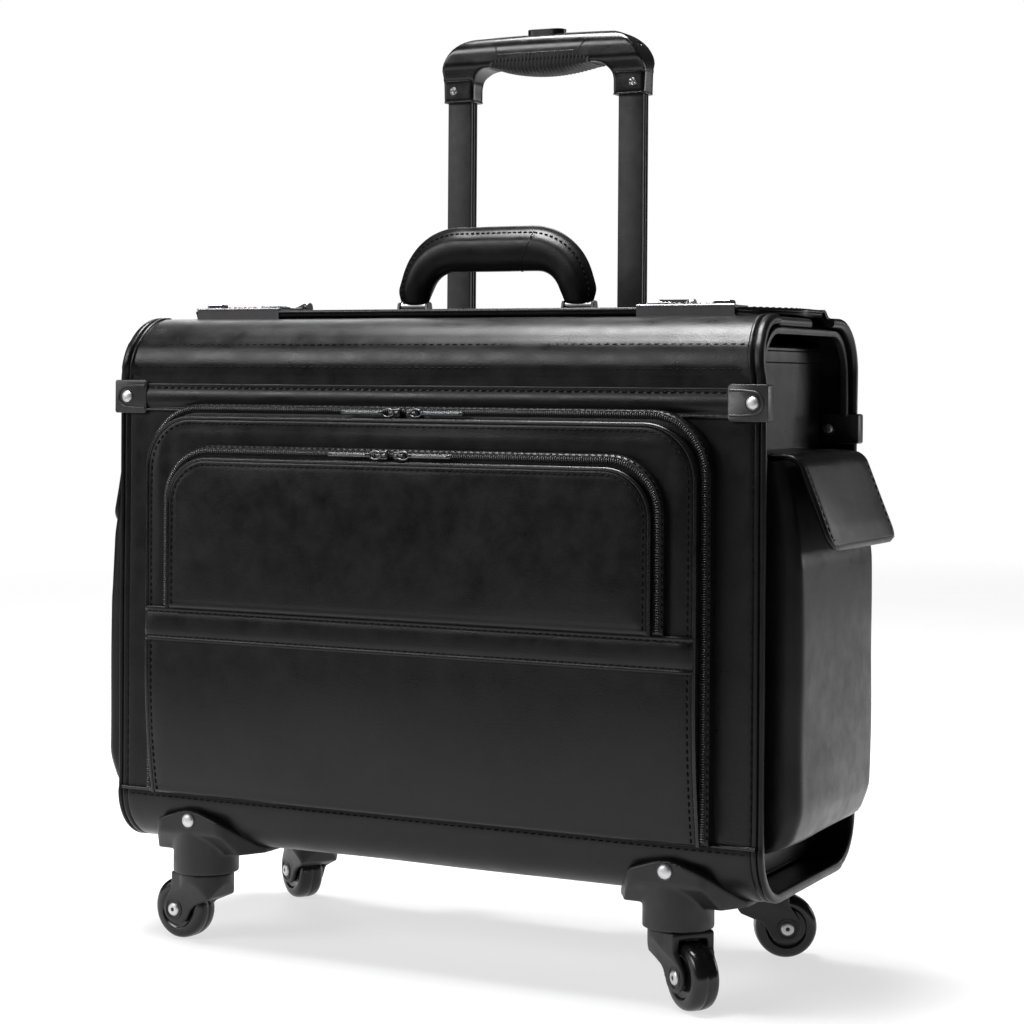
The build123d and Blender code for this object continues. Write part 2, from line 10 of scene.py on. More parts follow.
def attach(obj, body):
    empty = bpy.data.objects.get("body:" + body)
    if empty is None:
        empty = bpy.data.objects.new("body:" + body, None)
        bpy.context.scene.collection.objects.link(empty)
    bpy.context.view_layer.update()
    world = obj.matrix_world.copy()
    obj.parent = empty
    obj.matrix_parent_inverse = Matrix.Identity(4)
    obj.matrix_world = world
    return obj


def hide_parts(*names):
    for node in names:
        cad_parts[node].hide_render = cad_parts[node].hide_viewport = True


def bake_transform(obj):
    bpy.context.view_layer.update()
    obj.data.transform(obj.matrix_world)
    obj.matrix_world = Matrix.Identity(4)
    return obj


# Rolling laptop case: the looks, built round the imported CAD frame. Lengths are in millimetres
# and become metres in build(). X runs across the case, -Y is its front, Z is up.

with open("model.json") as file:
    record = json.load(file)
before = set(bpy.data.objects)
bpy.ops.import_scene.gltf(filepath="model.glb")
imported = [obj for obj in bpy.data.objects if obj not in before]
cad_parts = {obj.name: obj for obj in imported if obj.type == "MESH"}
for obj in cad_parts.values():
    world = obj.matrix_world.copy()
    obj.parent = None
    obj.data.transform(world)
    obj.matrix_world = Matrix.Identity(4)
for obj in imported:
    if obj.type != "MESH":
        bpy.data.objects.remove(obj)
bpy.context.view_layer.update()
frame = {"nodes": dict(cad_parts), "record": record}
cad_nodes = frame["nodes"]
MM = 0.001

HALF_WIDTH, HALF_DEPTH = 235.0, 86.0
CASE_BOTTOM, CASE_TOP = 66.0, 423.0
SHOULDER, BOTTOM_RADIUS = 35.0, 34.0
SIDE_FACE = 212.0
DIAL_FLAT_RADIUS = 5.3
DIAL_DIGIT_RADIUS = 5.27
LARGE_STEP, LARGE_PANEL = -97.0, -108.0
SMALL_STEP, SMALL_PANEL = -113.0, -120.0
TUBE_X, TUBE_Y = 67.3, 95.0
CASTER_X, CASTER_Y, TRAIL, WHEEL = 174.0, 68.6, 18.0, 20.75
CASTERS = {
    "front_left": (-1, -1, 174.0),
    "front_right": (1, -1, -38.0),
    "rear_left": (-1, 1, 146.0),
    "rear_right": (1, 1, 28.0),
}


# ---- materials ----------------------------------------------------------------------------
class Finish:
    """Node material on one Principled shader, fed by object coordinates."""

    def __init__(self, name, **sockets):
        self.material = bpy.data.materials.new(name)
        self.material.use_nodes = True
        self.tree = self.material.node_tree
        self.shader = self.tree.nodes["Principled BSDF"]
        self.coords = self.tree.nodes.new("ShaderNodeTexCoord").outputs["Object"]
        self.normal = None
        for socket, value in sockets.items():
            self.shader.inputs[socket.replace("_", " ")].default_value = value

    def add(self, kind, inputs=None, **settings):
        made = self.tree.nodes.new(kind)
        for key, value in settings.items():
            setattr(made, key, value)
        for key, value in (inputs or {}).items():
            if isinstance(value, bpy.types.NodeSocket):
                self.tree.links.new(value, made.inputs[key])
            else:
                made.inputs[key].default_value = value
        return made

    def stretched(self, scale):
        return self.add("ShaderNodeMapping", {"Vector": self.coords, "Scale": scale}).outputs[0]

    def noise(self, scale, detail=3.0, rough=0.55, stretch=(1, 1, 1)):
        vector = self.stretched(stretch)
        made = self.add("ShaderNodeTexNoise", {"Vector": vector, "Scale": scale, "Detail": detail,
                                               "Roughness": rough})
        return made.outputs["Fac"]

    def cells(self, scale, feature="SMOOTH_F1", stretch=(1, 1, 1)):
        vector = self.stretched(stretch)
        made = self.add("ShaderNodeTexVoronoi", {"Vector": vector, "Scale": scale}, feature=feature)
        return made.outputs["Distance"]

    def ramp(self, value, low, high, span=(0.3, 0.7)):
        made = self.add("ShaderNodeMapRange", {"Value": value, "From Min": span[0],
                                               "From Max": span[1], "To Min": low, "To Max": high})
        return made.outputs[0]

    def colour(self, value, dark, light, span=(0.3, 0.7)):
        factor = self.ramp(value, 0.0, 1.0, span)
        made = self.add("ShaderNodeMix", {"Factor": factor, "A": (*dark, 1), "B": (*light, 1)},
                        data_type="RGBA")
        made.inputs[6].default_value = (*dark, 1)
        made.inputs[7].default_value = (*light, 1)
        self.tree.links.new(made.outputs[2], self.shader.inputs["Base Color"])
        return self

    def roughness(self, value, low, high, span=(0.3, 0.7)):
        self.tree.links.new(self.ramp(value, low, high, span), self.shader.inputs["Roughness"])
        return self

    def bump(self, height, distance, strength=1.0):
        made = self.add("ShaderNodeBump", {"Height": height, "Distance": distance,
                                           "Strength": strength})
        if self.normal is not None:
            self.tree.links.new(self.normal, made.inputs["Normal"])
        self.normal = made.outputs[0]
        self.tree.links.new(self.normal, self.shader.inputs["Normal"])
        return self

    def soft_edges(self, radius):
        made = self.add("ShaderNodeBevel", {"Radius": radius}, samples=4)
        self.normal = made.outputs[0]
        self.tree.links.new(self.normal, self.shader.inputs["Normal"])
        return self


def leather(name, dark, light, gloss, grain=1.0, shine=0.25):
    finish = Finish(name, Specular_IOR_Level=shine)
    finish.colour(finish.noise(14.0, 4.0), dark, light)
    finish.roughness(finish.noise(55.0, 5.0, 0.65), *gloss)
    finish.bump(finish.noise(20.0, 2.0, 0.5, (1, 1, 0.6)), 0.0012 * grain, 0.45)
    finish.bump(finish.cells(950.0), 0.00007 * grain, 0.75)
    finish.bump(finish.noise(2600.0, 4.0, 0.7), 0.00004 * grain, 0.6)
    return finish.material


def plastic(name, tone, gloss, grain=1400.0, depth=0.00003):
    finish = Finish(name, Specular_IOR_Level=0.4)
    light = tuple(1.35 * c + 0.002 for c in tone)
    finish.soft_edges(0.0005)
    finish.colour(finish.noise(30.0, 5.0), tone, light)
    finish.roughness(finish.noise(90.0, 4.0, 0.6), *gloss)
    finish.bump(finish.noise(grain, 3.0, 0.6), depth, 0.8)
    return finish.material


def metal(name, tone, gloss, brush=(1, 1, 1), depth=0.00001, edge=0.0004, metallic=1.0):
    finish = Finish(name, Metallic=metallic)
    worn = tuple(min(1.0, 1.12 * c + 0.01) for c in tone)
    finish.soft_edges(edge)
    finish.colour(finish.noise(120.0, 5.0, 0.6), tone, worn)
    finish.roughness(finish.noise(260.0, 5.0, 0.7, brush), *gloss)
    finish.bump(finish.noise(1800.0, 3.0, 0.6, brush), depth, 0.7)
    return finish.material


def thread_finish():
    finish = Finish("waxed_thread", Specular_IOR_Level=0.12)
    finish.colour(finish.noise(700.0, 2.0), (0.0012, 0.0012, 0.0012), (0.005, 0.005, 0.005))
    finish.roughness(finish.noise(900.0, 2.0), 0.6, 0.85)
    finish.bump(finish.noise(2400.0, 2.0, 0.5, (1, 1, 3)), 0.00012, 0.9)
    return finish.material


def woven_finish():
    finish = Finish("zip_tape_weave", Specular_IOR_Level=0.2)
    weave = finish.add("ShaderNodeTexWave", {"Vector": finish.coords, "Scale": 420.0,
                                             "Distortion": 1.2, "Detail": 2.0},
                       bands_direction="DIAGONAL").outputs["Fac"]
    finish.colour(weave, (0.003, 0.003, 0.0035), (0.014, 0.014, 0.015), (0.1, 0.9))
    finish.roughness(finish.noise(400.0), 0.6, 0.85)
    finish.bump(weave, 0.00018, 0.9)
    return finish.material


def lining_finish():
    finish = Finish("lining_fabric", Specular_IOR_Level=0.25, Sheen_Weight=0.2)
    weave = finish.cells(1100.0, "F1", (1, 1, 0.6))
    finish.colour(finish.noise(60.0), (0.016, 0.016, 0.018), (0.032, 0.032, 0.035))
    finish.roughness(weave, 0.7, 0.9)
    finish.bump(weave, 0.00015, 0.8)
    return finish.material


LEATHER = leather("black_leather", (0.0017, 0.0017, 0.0019), (0.0034, 0.0034, 0.0035), (0.27, 0.42))
TRIM = leather("piping_leather", (0.0024, 0.0024, 0.0025), (0.0050, 0.0050, 0.0050), (0.20, 0.34),
               0.5, 0.36)
EDGE_PAINT = leather("frame_leather", (0.0075, 0.0075, 0.0075), (0.014, 0.014, 0.014), (0.30, 0.46),
                     0.7, 0.34)
THREAD = thread_finish()
TAPE = woven_finish()
LINING = lining_finish()
CLIP = metal("powder_coated_clip", (0.030, 0.030, 0.031), (0.32, 0.46), depth=0.00004, metallic=0.6)
CHROME = metal("chrome", (0.78, 0.78, 0.79), (0.07, 0.16))
LOCK_TOP = metal("lock_top_plate", (0.34, 0.34, 0.355), (0.20, 0.34), (1, 8, 1))
LOCK_BODY = metal("lock_wall_grey", (0.060, 0.060, 0.062), (0.34, 0.48), (8, 1, 1), metallic=0.7)
DIAL = metal("dial_nickel", (0.42, 0.41, 0.39), (0.26, 0.40), (1, 4, 4))
TUBE_FACE = metal("tube_anodised_grey", (0.023, 0.023, 0.024), (0.44, 0.56), (1, 1, 0.03), 0.000012,
                  metallic=0.6)
# Darker copy of the tube finish for the tubes' narrow sides: painted shade where those sides turn from
# the light, not a second colour of the tube.
TUBE_SIDE_PAINTED_SHADE = metal("tube_side_painted_shade", (0.007, 0.007, 0.007), (0.32, 0.46), (1, 1, 0.03), 0.000012,
                  metallic=0.4)
GRIP = plastic("grip_satin_plastic", (0.0030, 0.0030, 0.0032), (0.17, 0.27), 1100.0, 0.00002)
HOUSING = plastic("caster_matt_plastic", (0.0042, 0.0042, 0.0044), (0.38, 0.54), 1300.0, 0.00004)
RUBBER = plastic("grip_rubber", (0.0040, 0.0040, 0.0040), (0.50, 0.68), 1600.0, 0.00003)
TYRE = plastic("wheel_polyurethane", (0.0025, 0.0025, 0.0026), (0.14, 0.26), 500.0, 0.00001)
ZIP_METAL = metal("zip_gunmetal", (0.11, 0.11, 0.113), (0.20, 0.34))
TEETH = metal("zip_coil_teeth", (0.085, 0.085, 0.088), (0.18, 0.30), metallic=0.6)
STEEL = metal("pin_steel", (0.30, 0.30, 0.31), (0.26, 0.40))
NICKEL = metal("rivet_matt_nickel", (0.52, 0.52, 0.53), (0.42, 0.54), depth=0.00002)
BLACK_INK = plastic("digit_black", (0.010, 0.010, 0.010), (0.40, 0.50))
RED_INK = plastic("digit_red", (0.62, 0.030, 0.018), (0.38, 0.50))

SLOT_LOOKS = {
    "black_leather": LEATHER, "leather_lining": LINING, "frame_leather": EDGE_PAINT,
    "clip_metal": CLIP, "chrome": CHROME, "lock_metal": LOCK_BODY, "dial_metal": DIAL,
    "tube_metal": TUBE_FACE, "grip_plastic": GRIP, "housing_plastic": HOUSING,
    "grip_rubber": RUBBER, "wheel_tyre": TYRE, "zip_track": TAPE, "zip_metal": ZIP_METAL,
    "pin_steel": STEEL,
}


# ---- mesh helpers -------------------------------------------------------------------------
def build(name, verts, faces, look, body, slot, sharp=38.0, also=()):
    """New piece from points in mm; it rides on a CAD body. The slot argument is not used."""
    mesh = bpy.data.meshes.new(name)
    mesh.from_pydata((np.asarray(verts, float) * MM).tolist(), [], [list(f) for f in faces])
    mesh.validate()
    piece = bpy.data.objects.new(name, mesh)
    bpy.context.scene.collection.objects.link(piece)
    return dress(piece, look, body, sharp, also)


def dress(piece, look, body, sharp=38.0, also=()):
    for each in (look, *also):
        piece.data.materials.append(each)
    shade(piece.data, sharp)
    if body:
        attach(piece, body)
    return piece


def shade(mesh, sharp):
    work = bmesh.new()
    work.from_mesh(mesh)
    bmesh.ops.remove_doubles(work, verts=work.verts, dist=1e-6)
    bmesh.ops.recalc_face_normals(work, faces=work.faces)
    work.to_mesh(mesh)
    work.free()
    mesh.shade_smooth()
    mesh.set_sharp_from_angle(angle=math.radians(sharp))


def rounded(corners, radii, closed=True, step=2.5):
    """Dense outline through 2-D corners, each rounded by its radius."""
    corners = [np.array(c, float) for c in corners]
    count = len(corners)
    out = []
    for i, (corner, radius) in enumerate(zip(corners, radii)):
        if radius <= 0 or (not closed and i in (0, count - 1)):
            out.append(corner)
            continue
        back = corners[i - 1] - corner
        ahead = corners[(i + 1) % count] - corner
        back, ahead = back / np.linalg.norm(back), ahead / np.linalg.norm(ahead)
        half = math.acos(float(np.clip(back @ ahead, -1, 1))) / 2
        middle = (back + ahead) / np.linalg.norm(back + ahead)
        centre = corner + middle * radius / math.sin(half)
        first = corner + back * radius / math.tan(half) - centre
        last = corner + ahead * radius / math.tan(half) - centre
        turn = math.pi - 2 * half
        steps = max(4, int(radius * turn / step))
        for k in range(steps + 1):
            f = k / steps
            spot = (math.sin((1 - f) * turn) * first + math.sin(f * turn) * last) / math.sin(turn)
            out.append(centre + spot)
    return np.array(out)


def spaced(points, step, closed=False):
    """The same path with even spacing."""
    points = np.asarray(points, float)
    if closed:
        points = np.vstack([points, points[:1]])
    lengths = np.linalg.norm(np.diff(points, axis=0), axis=1)
    along = np.concatenate([[0], np.cumsum(lengths)])
    count = max(2, int(round(along[-1] / step)))
    wanted = np.linspace(0, along[-1], count + 1)
    if closed:
        wanted = wanted[:-1]
    return np.column_stack([np.interp(wanted, along, points[:, k]) for k in range(points.shape[1])])


def tangents(points, closed=False):
    if closed:
        ahead, back = np.roll(points, -1, 0), np.roll(points, 1, 0)
    else:
        ahead = np.vstack([points[1:], points[-1:]])
        back = np.vstack([points[:1], points[:-1]])
    along = ahead - back
    return along / np.maximum(np.linalg.norm(along, axis=1, keepdims=True), 1e-9)


def grid_faces(rows, cols, wrap_rows=False, wrap_cols=False):
    faces = []
    for i in range(rows if wrap_rows else rows - 1):
        for j in range(cols if wrap_cols else cols - 1):
            a, b = i * cols + j, i * cols + (j + 1) % cols
            c, d = ((i + 1) % rows) * cols + (j + 1) % cols, ((i + 1) % rows) * cols + j
            faces.append((a, b, c, d))
    return faces


def lengthwise(rows_of_points, closed_path=False):
    """Tube from a list of closed rings, with end caps unless the path is closed."""
    rings = np.asarray(rows_of_points, float)
    rows, cols = rings.shape[:2]
    faces = grid_faces(rows, cols, wrap_rows=closed_path, wrap_cols=True)
    if not closed_path:
        faces.append(tuple(range(cols))[::-1])
        faces.append(tuple(range((rows - 1) * cols, rows * cols)))
    return rings.reshape(-1, 3), faces


def round_tube(path, radius, sides=10, closed=False, squash=1.0, up=(0, 0, 1)):
    """Rings of a round or flattened tube along a 3-D path."""
    path = np.asarray(path, float)
    along = tangents(path, closed)
    up = np.tile(np.array(up, float), (len(path), 1))
    side = np.cross(along, up)
    weak = np.linalg.norm(side, axis=1) < 0.2
    side[weak] = np.cross(along[weak], np.array([1.0, 0.0, 0.0]))
    side /= np.linalg.norm(side, axis=1, keepdims=True)
    rise = np.cross(side, along)
    turns = np.linspace(0, 2 * math.pi, sides, endpoint=False)
    rings = [p + radius * (math.cos(t) * side + squash * math.sin(t) * rise) for t in turns
             for p in (path,)]
    return lengthwise(np.stack(rings, axis=1), closed)


def merge(parts):
    """One vertex and face list from several."""
    verts, faces, base = [], [], 0
    for points, polygons in parts:
        points = np.asarray(points, float)
        verts.append(points)
        faces += [tuple(i + base for i in polygon) for polygon in polygons]
        base += len(points)
    return np.vstack(verts), faces


def mirrored(points):
    flipped = np.array(points, float)
    flipped[..., 0] *= -1
    return flipped


def ripple(points, directions, amount, size, seed):
    """Slow undulation of soft material along the given directions."""
    shift = Vector((seed * 7.3, seed * 3.1, seed * 5.7))
    waves = np.array([noise.noise(Vector(p) / size + shift) for p in points])
    return points + directions * (amount * waves)[:, None]


def soften(piece, amount, size, seed):
    """Undulates a finished soft mesh along its normals."""
    mesh = piece.data
    points = np.array([v.co for v in mesh.vertices]) / MM
    normals = np.array([v.normal for v in mesh.vertices])
    moved = ripple(points, normals, amount, size, seed) * MM
    mesh.vertices.foreach_set("co", moved.ravel())
    mesh.update()
    return piece


seams = {}


def stitch(group, path, outward, pitch=5.6, length=3.7, radius=0.5, closed=False):
    """Row of separate thread stitches along a path; outward is one vector or one per point."""
    path = np.asarray(path, float)
    outward = np.broadcast_to(np.asarray(outward, float), path.shape)
    places = spaced(np.hstack([path, outward]), pitch, closed)
    if not closed:
        places = (places[1:] + places[:-1]) / 2
    along = tangents(places[:, :3], closed)
    stations = ((-0.5, 0.25, -0.35), (-0.42, 0.85, -0.05), (-0.15, 1.0, 0.12),
                (0.2, 1.0, 0.12), (0.42, 0.8, -0.08), (0.5, 0.25, -0.4))
    sides = 6
    for place, forward in zip(places, along):
        up = place[3:] / np.linalg.norm(place[3:])
        side = np.cross(up, forward)
        side /= max(np.linalg.norm(side), 1e-9)
        rings = []
        for offset, scale, lift in stations:
            middle = place[:3] + forward * offset * length + up * lift * radius
            middle = middle + side * offset * 0.25
            rings.append([middle + radius * scale * (math.cos(t) * side + 0.8 * math.sin(t) * up)
                          for t in np.linspace(0, 2 * math.pi, sides, endpoint=False)])
        seams.setdefault(group, []).append(lengthwise(rings))


def finish_seams(owners):
    for group, parts in seams.items():
        body = owners.get(group, "case")
        build(f"stitching_{group}", *merge(parts), THREAD, body, "black_leather", 60)


def pad_grid(half_x, low, high, radius, edge, middle=44, tall=46):
    """Grid of (x, z, distance from the outline) over a panel with rounded top corners."""
    near = np.array([0, 0.06, 0.2, 0.42, 0.72, 1.0]) * edge
    arc = half_x - radius + radius * np.sin(np.linspace(0, math.pi / 2, 15))
    side = half_x - near[::-1]
    plus = np.unique(np.round(np.concatenate([arc, side]), 3))
    inner = np.linspace(-(half_x - radius), half_x - radius, middle)
    xs = np.concatenate([-plus[::-1], inner[1:-1], plus])
    over = np.maximum(np.abs(xs) - (half_x - radius), 0)
    tops = high - radius + np.sqrt(np.maximum(radius**2 - over**2, 0))
    sheet = []
    for x, top in zip(xs, tops):
        span = top - low
        cut = min(edge, span * 0.3)
        scaled = near / edge * cut
        zs = np.concatenate([low + scaled, np.linspace(low + cut, top - cut, tall)[1:-1],
                             top - scaled[::-1]])
        corner_z = np.maximum(zs - (high - radius), 0)
        corner_x = max(abs(x) - (half_x - radius), 0)
        inside = np.minimum(half_x - abs(x), zs - low)
        round_in = radius - np.hypot(corner_x, corner_z)
        away = np.where((corner_z > 0) & (corner_x > 0), np.minimum(inside, round_in),
                        np.minimum(inside, high - zs))
        sheet.append(np.column_stack([np.full_like(zs, x), zs, np.maximum(away, 0)]))
    return np.array(sheet)


def roll_off(away, edge):
    """Drop of a face near its outline, a quarter round of radius edge."""
    inside = np.minimum(away, edge)
    return edge - np.sqrt(np.maximum(edge**2 - (edge - inside) ** 2, 0))


def pad(half_x, low, high, radius, edge, face_y, base_y, seed, wave=0.5):
    """Soft panel: face_y(x, z, away) gives its front, walls run back to base_y."""
    sheet = pad_grid(half_x, low, high, radius, edge)
    cols, rows = sheet.shape[:2]
    x, z, away = sheet[..., 0], sheet[..., 1], sheet[..., 2]
    y = face_y(x, z, away) + roll_off(away, edge)
    points = np.stack([x, y, z], axis=-1).reshape(-1, 3)
    hold = np.clip(away.reshape(-1) / 12.0, 0, 1)[:, None] * np.array([0, -1.0, 0])
    points = ripple(points, hold, wave, 70.0, seed)
    faces = grid_faces(cols, rows)
    index = np.arange(cols * rows).reshape(cols, rows)
    rim = np.concatenate([index[:, 0], index[-1, 1:], index[-2::-1, -1], index[0, -2:0:-1]])
    back = points[rim].copy()
    back[:, 1] = base_y
    first = len(points)
    count = len(rim)
    for k in range(count):
        n = (k + 1) % count
        faces.append((rim[k], rim[n], first + n, first + k))
    faces.append(tuple(first + k for k in range(count)))
    return np.vstack([points, back]), faces


def arch(half_x, low, high, radius, inset, step=2.5):
    """Open path (x, z) up the left side, over the top and down the right side."""
    x, top = half_x - inset, high - inset
    corners = [(-x, low), (-x, top), (x, top), (x, low)]
    return spaced(rounded(corners, [0, radius - inset, radius - inset, 0], False), step)


def copied(node, name, look, body, sharp=30.0, also=()):
    """Editable copy of a CAD node's shape, with its flat faces made whole again."""
    work = bmesh.new()
    work.from_mesh(cad_nodes[node].data)
    bmesh.ops.remove_doubles(work, verts=work.verts, dist=2e-6)
    bmesh.ops.dissolve_limit(work, angle_limit=math.radians(1.5), verts=work.verts,
                             edges=work.edges)
    mesh = bpy.data.meshes.new(name)
    work.to_mesh(mesh)
    work.free()
    piece = bpy.data.objects.new(name, mesh)
    bpy.context.scene.collection.objects.link(piece)
    dress(piece, look, body, sharp, also)
    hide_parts(node)
    return piece


def apply_modifiers(piece):
    graph = bpy.context.evaluated_depsgraph_get()
    baked = bpy.data.meshes.new_from_object(piece.evaluated_get(graph))
    piece.modifiers.clear()
    piece.data = baked
    return piece


def bevelled(node, width, look, body, segments=3, also=()):
    return bevel_edges(copied(node, f"{node}_shape", look, body, 30.0, also), width, segments)


def bevel_edges(piece, width, segments=3):
    bevel = piece.modifiers.new("bevel", "BEVEL")
    bevel.width = width * MM
    bevel.segments = segments
    bevel.limit_method = "ANGLE"
    bevel.angle_limit = math.radians(32)
    bevel.use_clamp_overlap = True
    bevel.harden_normals = True
    bevel.miter_outer = "MITER_ARC"
    return apply_modifiers(piece)


def moulded(node, voxel, passes, look, body, factor=0.5):
    """CAD shape remeshed and relaxed, so that its edges run into each other like a moulding."""
    piece = copied(node, f"{node}_shape", look, body)
    remesh = piece.modifiers.new("remesh", "REMESH")
    remesh.mode = "VOXEL"
    remesh.voxel_size = voxel * MM
    smooth = piece.modifiers.new("relax", "SMOOTH")
    smooth.factor = factor
    smooth.iterations = passes
    apply_modifiers(piece)
    piece.data.shade_smooth()
    return piece


# ---- carried-over CAD nodes ---------------------------------------------------------------
def dress_cad():
    """Gives every carried-over CAD node the look of its slot."""
    for entry in frame["record"]["materials"]:
        look = SLOT_LOOKS[entry["slot"]]
        for name in entry.get("nodes", []):
            target = cad_nodes[name]
            if not target.data.materials:
                target.data.materials.append(look)
            for index in range(len(target.data.materials)):
                target.data.materials[index] = look


# ---- case shell ---------------------------------------------------------------------------
def shell_path(parts):
    corners, radii = parts
    return spaced(rounded(corners, radii, False, 2.0), 3.2)


def outward_of(path):
    along = tangents(path)
    return np.column_stack([along[:, 1], -along[:, 0]])


def mirror_profile(right, under):
    """Closed (x, n) loop from its right half above and the depth of the flat side below."""
    right = np.array(right, float)
    left = right[::-1] * np.array([-1.0, 1.0])
    inner = np.linspace(HALF_WIDTH - 5, -(HALF_WIDTH - 5), 9)
    below = np.column_stack([inner, np.full(9, -under)])
    return np.vstack([left, right[1:] if right[0, 0] == 0 else right, below])


def strip_mesh(path, profile, lift=None):
    """Profile (x, n) carried along a (y, z) path, with an extra outward lift per path point."""
    out = outward_of(path)
    lift = np.zeros(len(path)) if lift is None else lift
    rings = []
    for (y, z), (oy, oz), extra in zip(path, out, lift):
        raised = np.where(profile[:, 1] > -1.5, extra, 0.0)
        n = profile[:, 1] + raised
        rings.append(np.column_stack([profile[:, 0], y + oy * n, z + oz * n]))
    return lengthwise(rings)


def span_profile(edge):
    field = [(x, 0.0) for x in np.linspace(0, 214, 30)]
    return mirror_profile(field + edge, 5.0)


def offset_path(path, distance, x):
    """3-D path at one x, raised from a (y, z) path."""
    out = outward_of(path)
    return np.column_stack([np.full(len(path), x), path + out * distance]), \
        np.column_stack([np.zeros(len(path)), out])


def body_wrap():
    path = shell_path(([(-86, 381.2), (-86, 66), (86, 66), (86, 423), (37, 423)],
                       [0, BOTTOM_RADIUS, BOTTOM_RADIUS, SHOULDER, 0]))
    edge = [(220, 0.1), (225.2, 0.3), (226.4, 0.1), (227.5, -0.9), (228.6, 0.1), (229.4, 0.35),
            (230.5, 0.3), (231.2, -0.4), (231.7, -1.2), (232.2, -0.4), (232.8, 0.4),
            (233.7, 0.45), (234.6, 0.0), (235.2, -0.9), (235.4, -2.2), (235.1, -3.8),
            (234.3, -4.9), (233.2, -5.3), (231.5, -5.0)]
    low = (path[:, 1] < 101.5) & (path[:, 0] < 60)
    lift = np.where(low, 0.8, 0.0)
    points, faces = strip_mesh(path, span_profile(edge), lift)
    piece = build("body_wrap_leather", points, faces, LEATHER, "case", "black_leather", 50)
    soften(piece, 0.55, 85.0, 1)
    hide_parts("body_wrap")
    for x in (-227.5, 227.5):
        row, out = offset_path(path, -0.6, x)
        stitch("wrap_edges", row, out, 6.6, 4.2, 0.55)


def base_trim():
    """Piped seam along the foot of the front and the stitches under it."""
    line = [(-231, -86.4, 102.4), (231, -86.4, 102.4)]
    piping = spaced(line, 12.0)
    build("base_piping", *round_tube(piping, 1.5, 12), TRIM, "case", "black_leather")
    row = np.array([(-225, -86.9, 98.6), (225, -86.9, 98.6)])
    stitch("base_seam", row, (0, -1, 0), 5.2, 3.4, 0.5)


def clip_band():
    """Padded band between the front clips, with the fold under it and its stitched top."""
    section = [(-85.4, 360.2), (-87.6, 360.3), (-88.0, 361.2), (-87.0, 362.0), (-86.6, 362.8),
               (-87.5, 364.2), (-88.3, 366.6), (-88.5, 369.0), (-88.3, 371.6), (-87.6, 374.0),
               (-86.9, 375.2), (-86.5, 375.9), (-86.9, 376.6), (-87.2, 377.4), (-86.9, 378.4),
               (-85.4, 378.6)]
    xs = np.linspace(-212.5, 212.5, 90)
    rings = [[(x, y, z) for y, z in section] for x in xs]
    points, faces = lengthwise(rings)
    piece = build("clip_band", points, faces, LEATHER, "case", "black_leather", 60)
    soften(piece, 0.35, 38.0, 4)
    row = np.array([(-211, -86.9, 375.9), (211, -86.9, 375.9)])
    stitch("clip_band", row, (0, -1, 0.2), 5.4, 3.6, 0.5)
    fold = spaced([(-212, -87.9, 360.9), (212, -87.9, 360.9)], 12.0)
    build("clip_band_fold", *round_tube(fold, 0.7, 8), TRIM, "case", "black_leather")


def front_lid():
    path = shell_path(([(-47.5, 423), (-86, 423), (-86, 377.2)], [0, SHOULDER, 0]))
    edge = [(218, 0.0), (225.0, -0.1), (225.9, 0.95), (227.0, 1.1), (228.0, 0.5), (228.9, -0.8),
            (229.8, 0.5), (230.7, 1.1), (231.6, 0.95), (232.4, 1.05), (233.4, 0.95),
            (234.6, 0.25), (235.3, -0.9), (235.6, -2.3), (235.2, -3.9), (234.2, -4.9),
            (232.8, -5.2), (231.0, -4.9)]
    strip = (path[:, 1] > 387.2) & (path[:, 1] < 405.4)
    lift = np.where(strip, 0.7, 0.0)
    points, faces = strip_mesh(path, span_profile(edge), lift)
    points[:, 1] = np.where((points[:, 1] > -84.0) & (points[:, 2] < 382.5), -84.6, points[:, 1])
    points = drawn_in(points)
    piece = build("front_lid_leather", points, faces, LEATHER, None, "black_leather", 50)
    soften(piece, 0.5, 75.0, 2)
    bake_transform(piece)
    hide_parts("front_lid")
    for height, pitch in ((403.4, 5.6), (389.4, 5.7)):
        near = int(np.argmin(np.abs(path[:, 1] - height) + 50 * (path[:, 0] > -60)))
        (y, z), (oy, oz) = path[near], outward_of(path)[near]
        row = np.array([(x, y + oy * 0.45, z + oz * 0.45) for x in (-221.5, 221.5)])
        stitch("front_lid", row, (0, oy, oz), pitch, 3.8, 0.55)
    keep = path[:, 1] > 387
    for x in (-228.9, 228.9):
        row, out = offset_path(path, -0.45, x)
        stitch("front_lid", drawn_in(row[keep]), out[keep], 5.4, 3.6, 0.5)


def drawn_in(points):
    """The front lid's ends lean inward toward the top."""
    share = np.clip((points[:, 2] - 382.3) / 41.0, 0, 1)
    near_end = np.clip((np.abs(points[:, 0]) - 150) / 85, 0, 1)
    moved = points.copy()
    moved[:, 0] -= np.sign(points[:, 0]) * 5.5 * share * near_end
    return moved


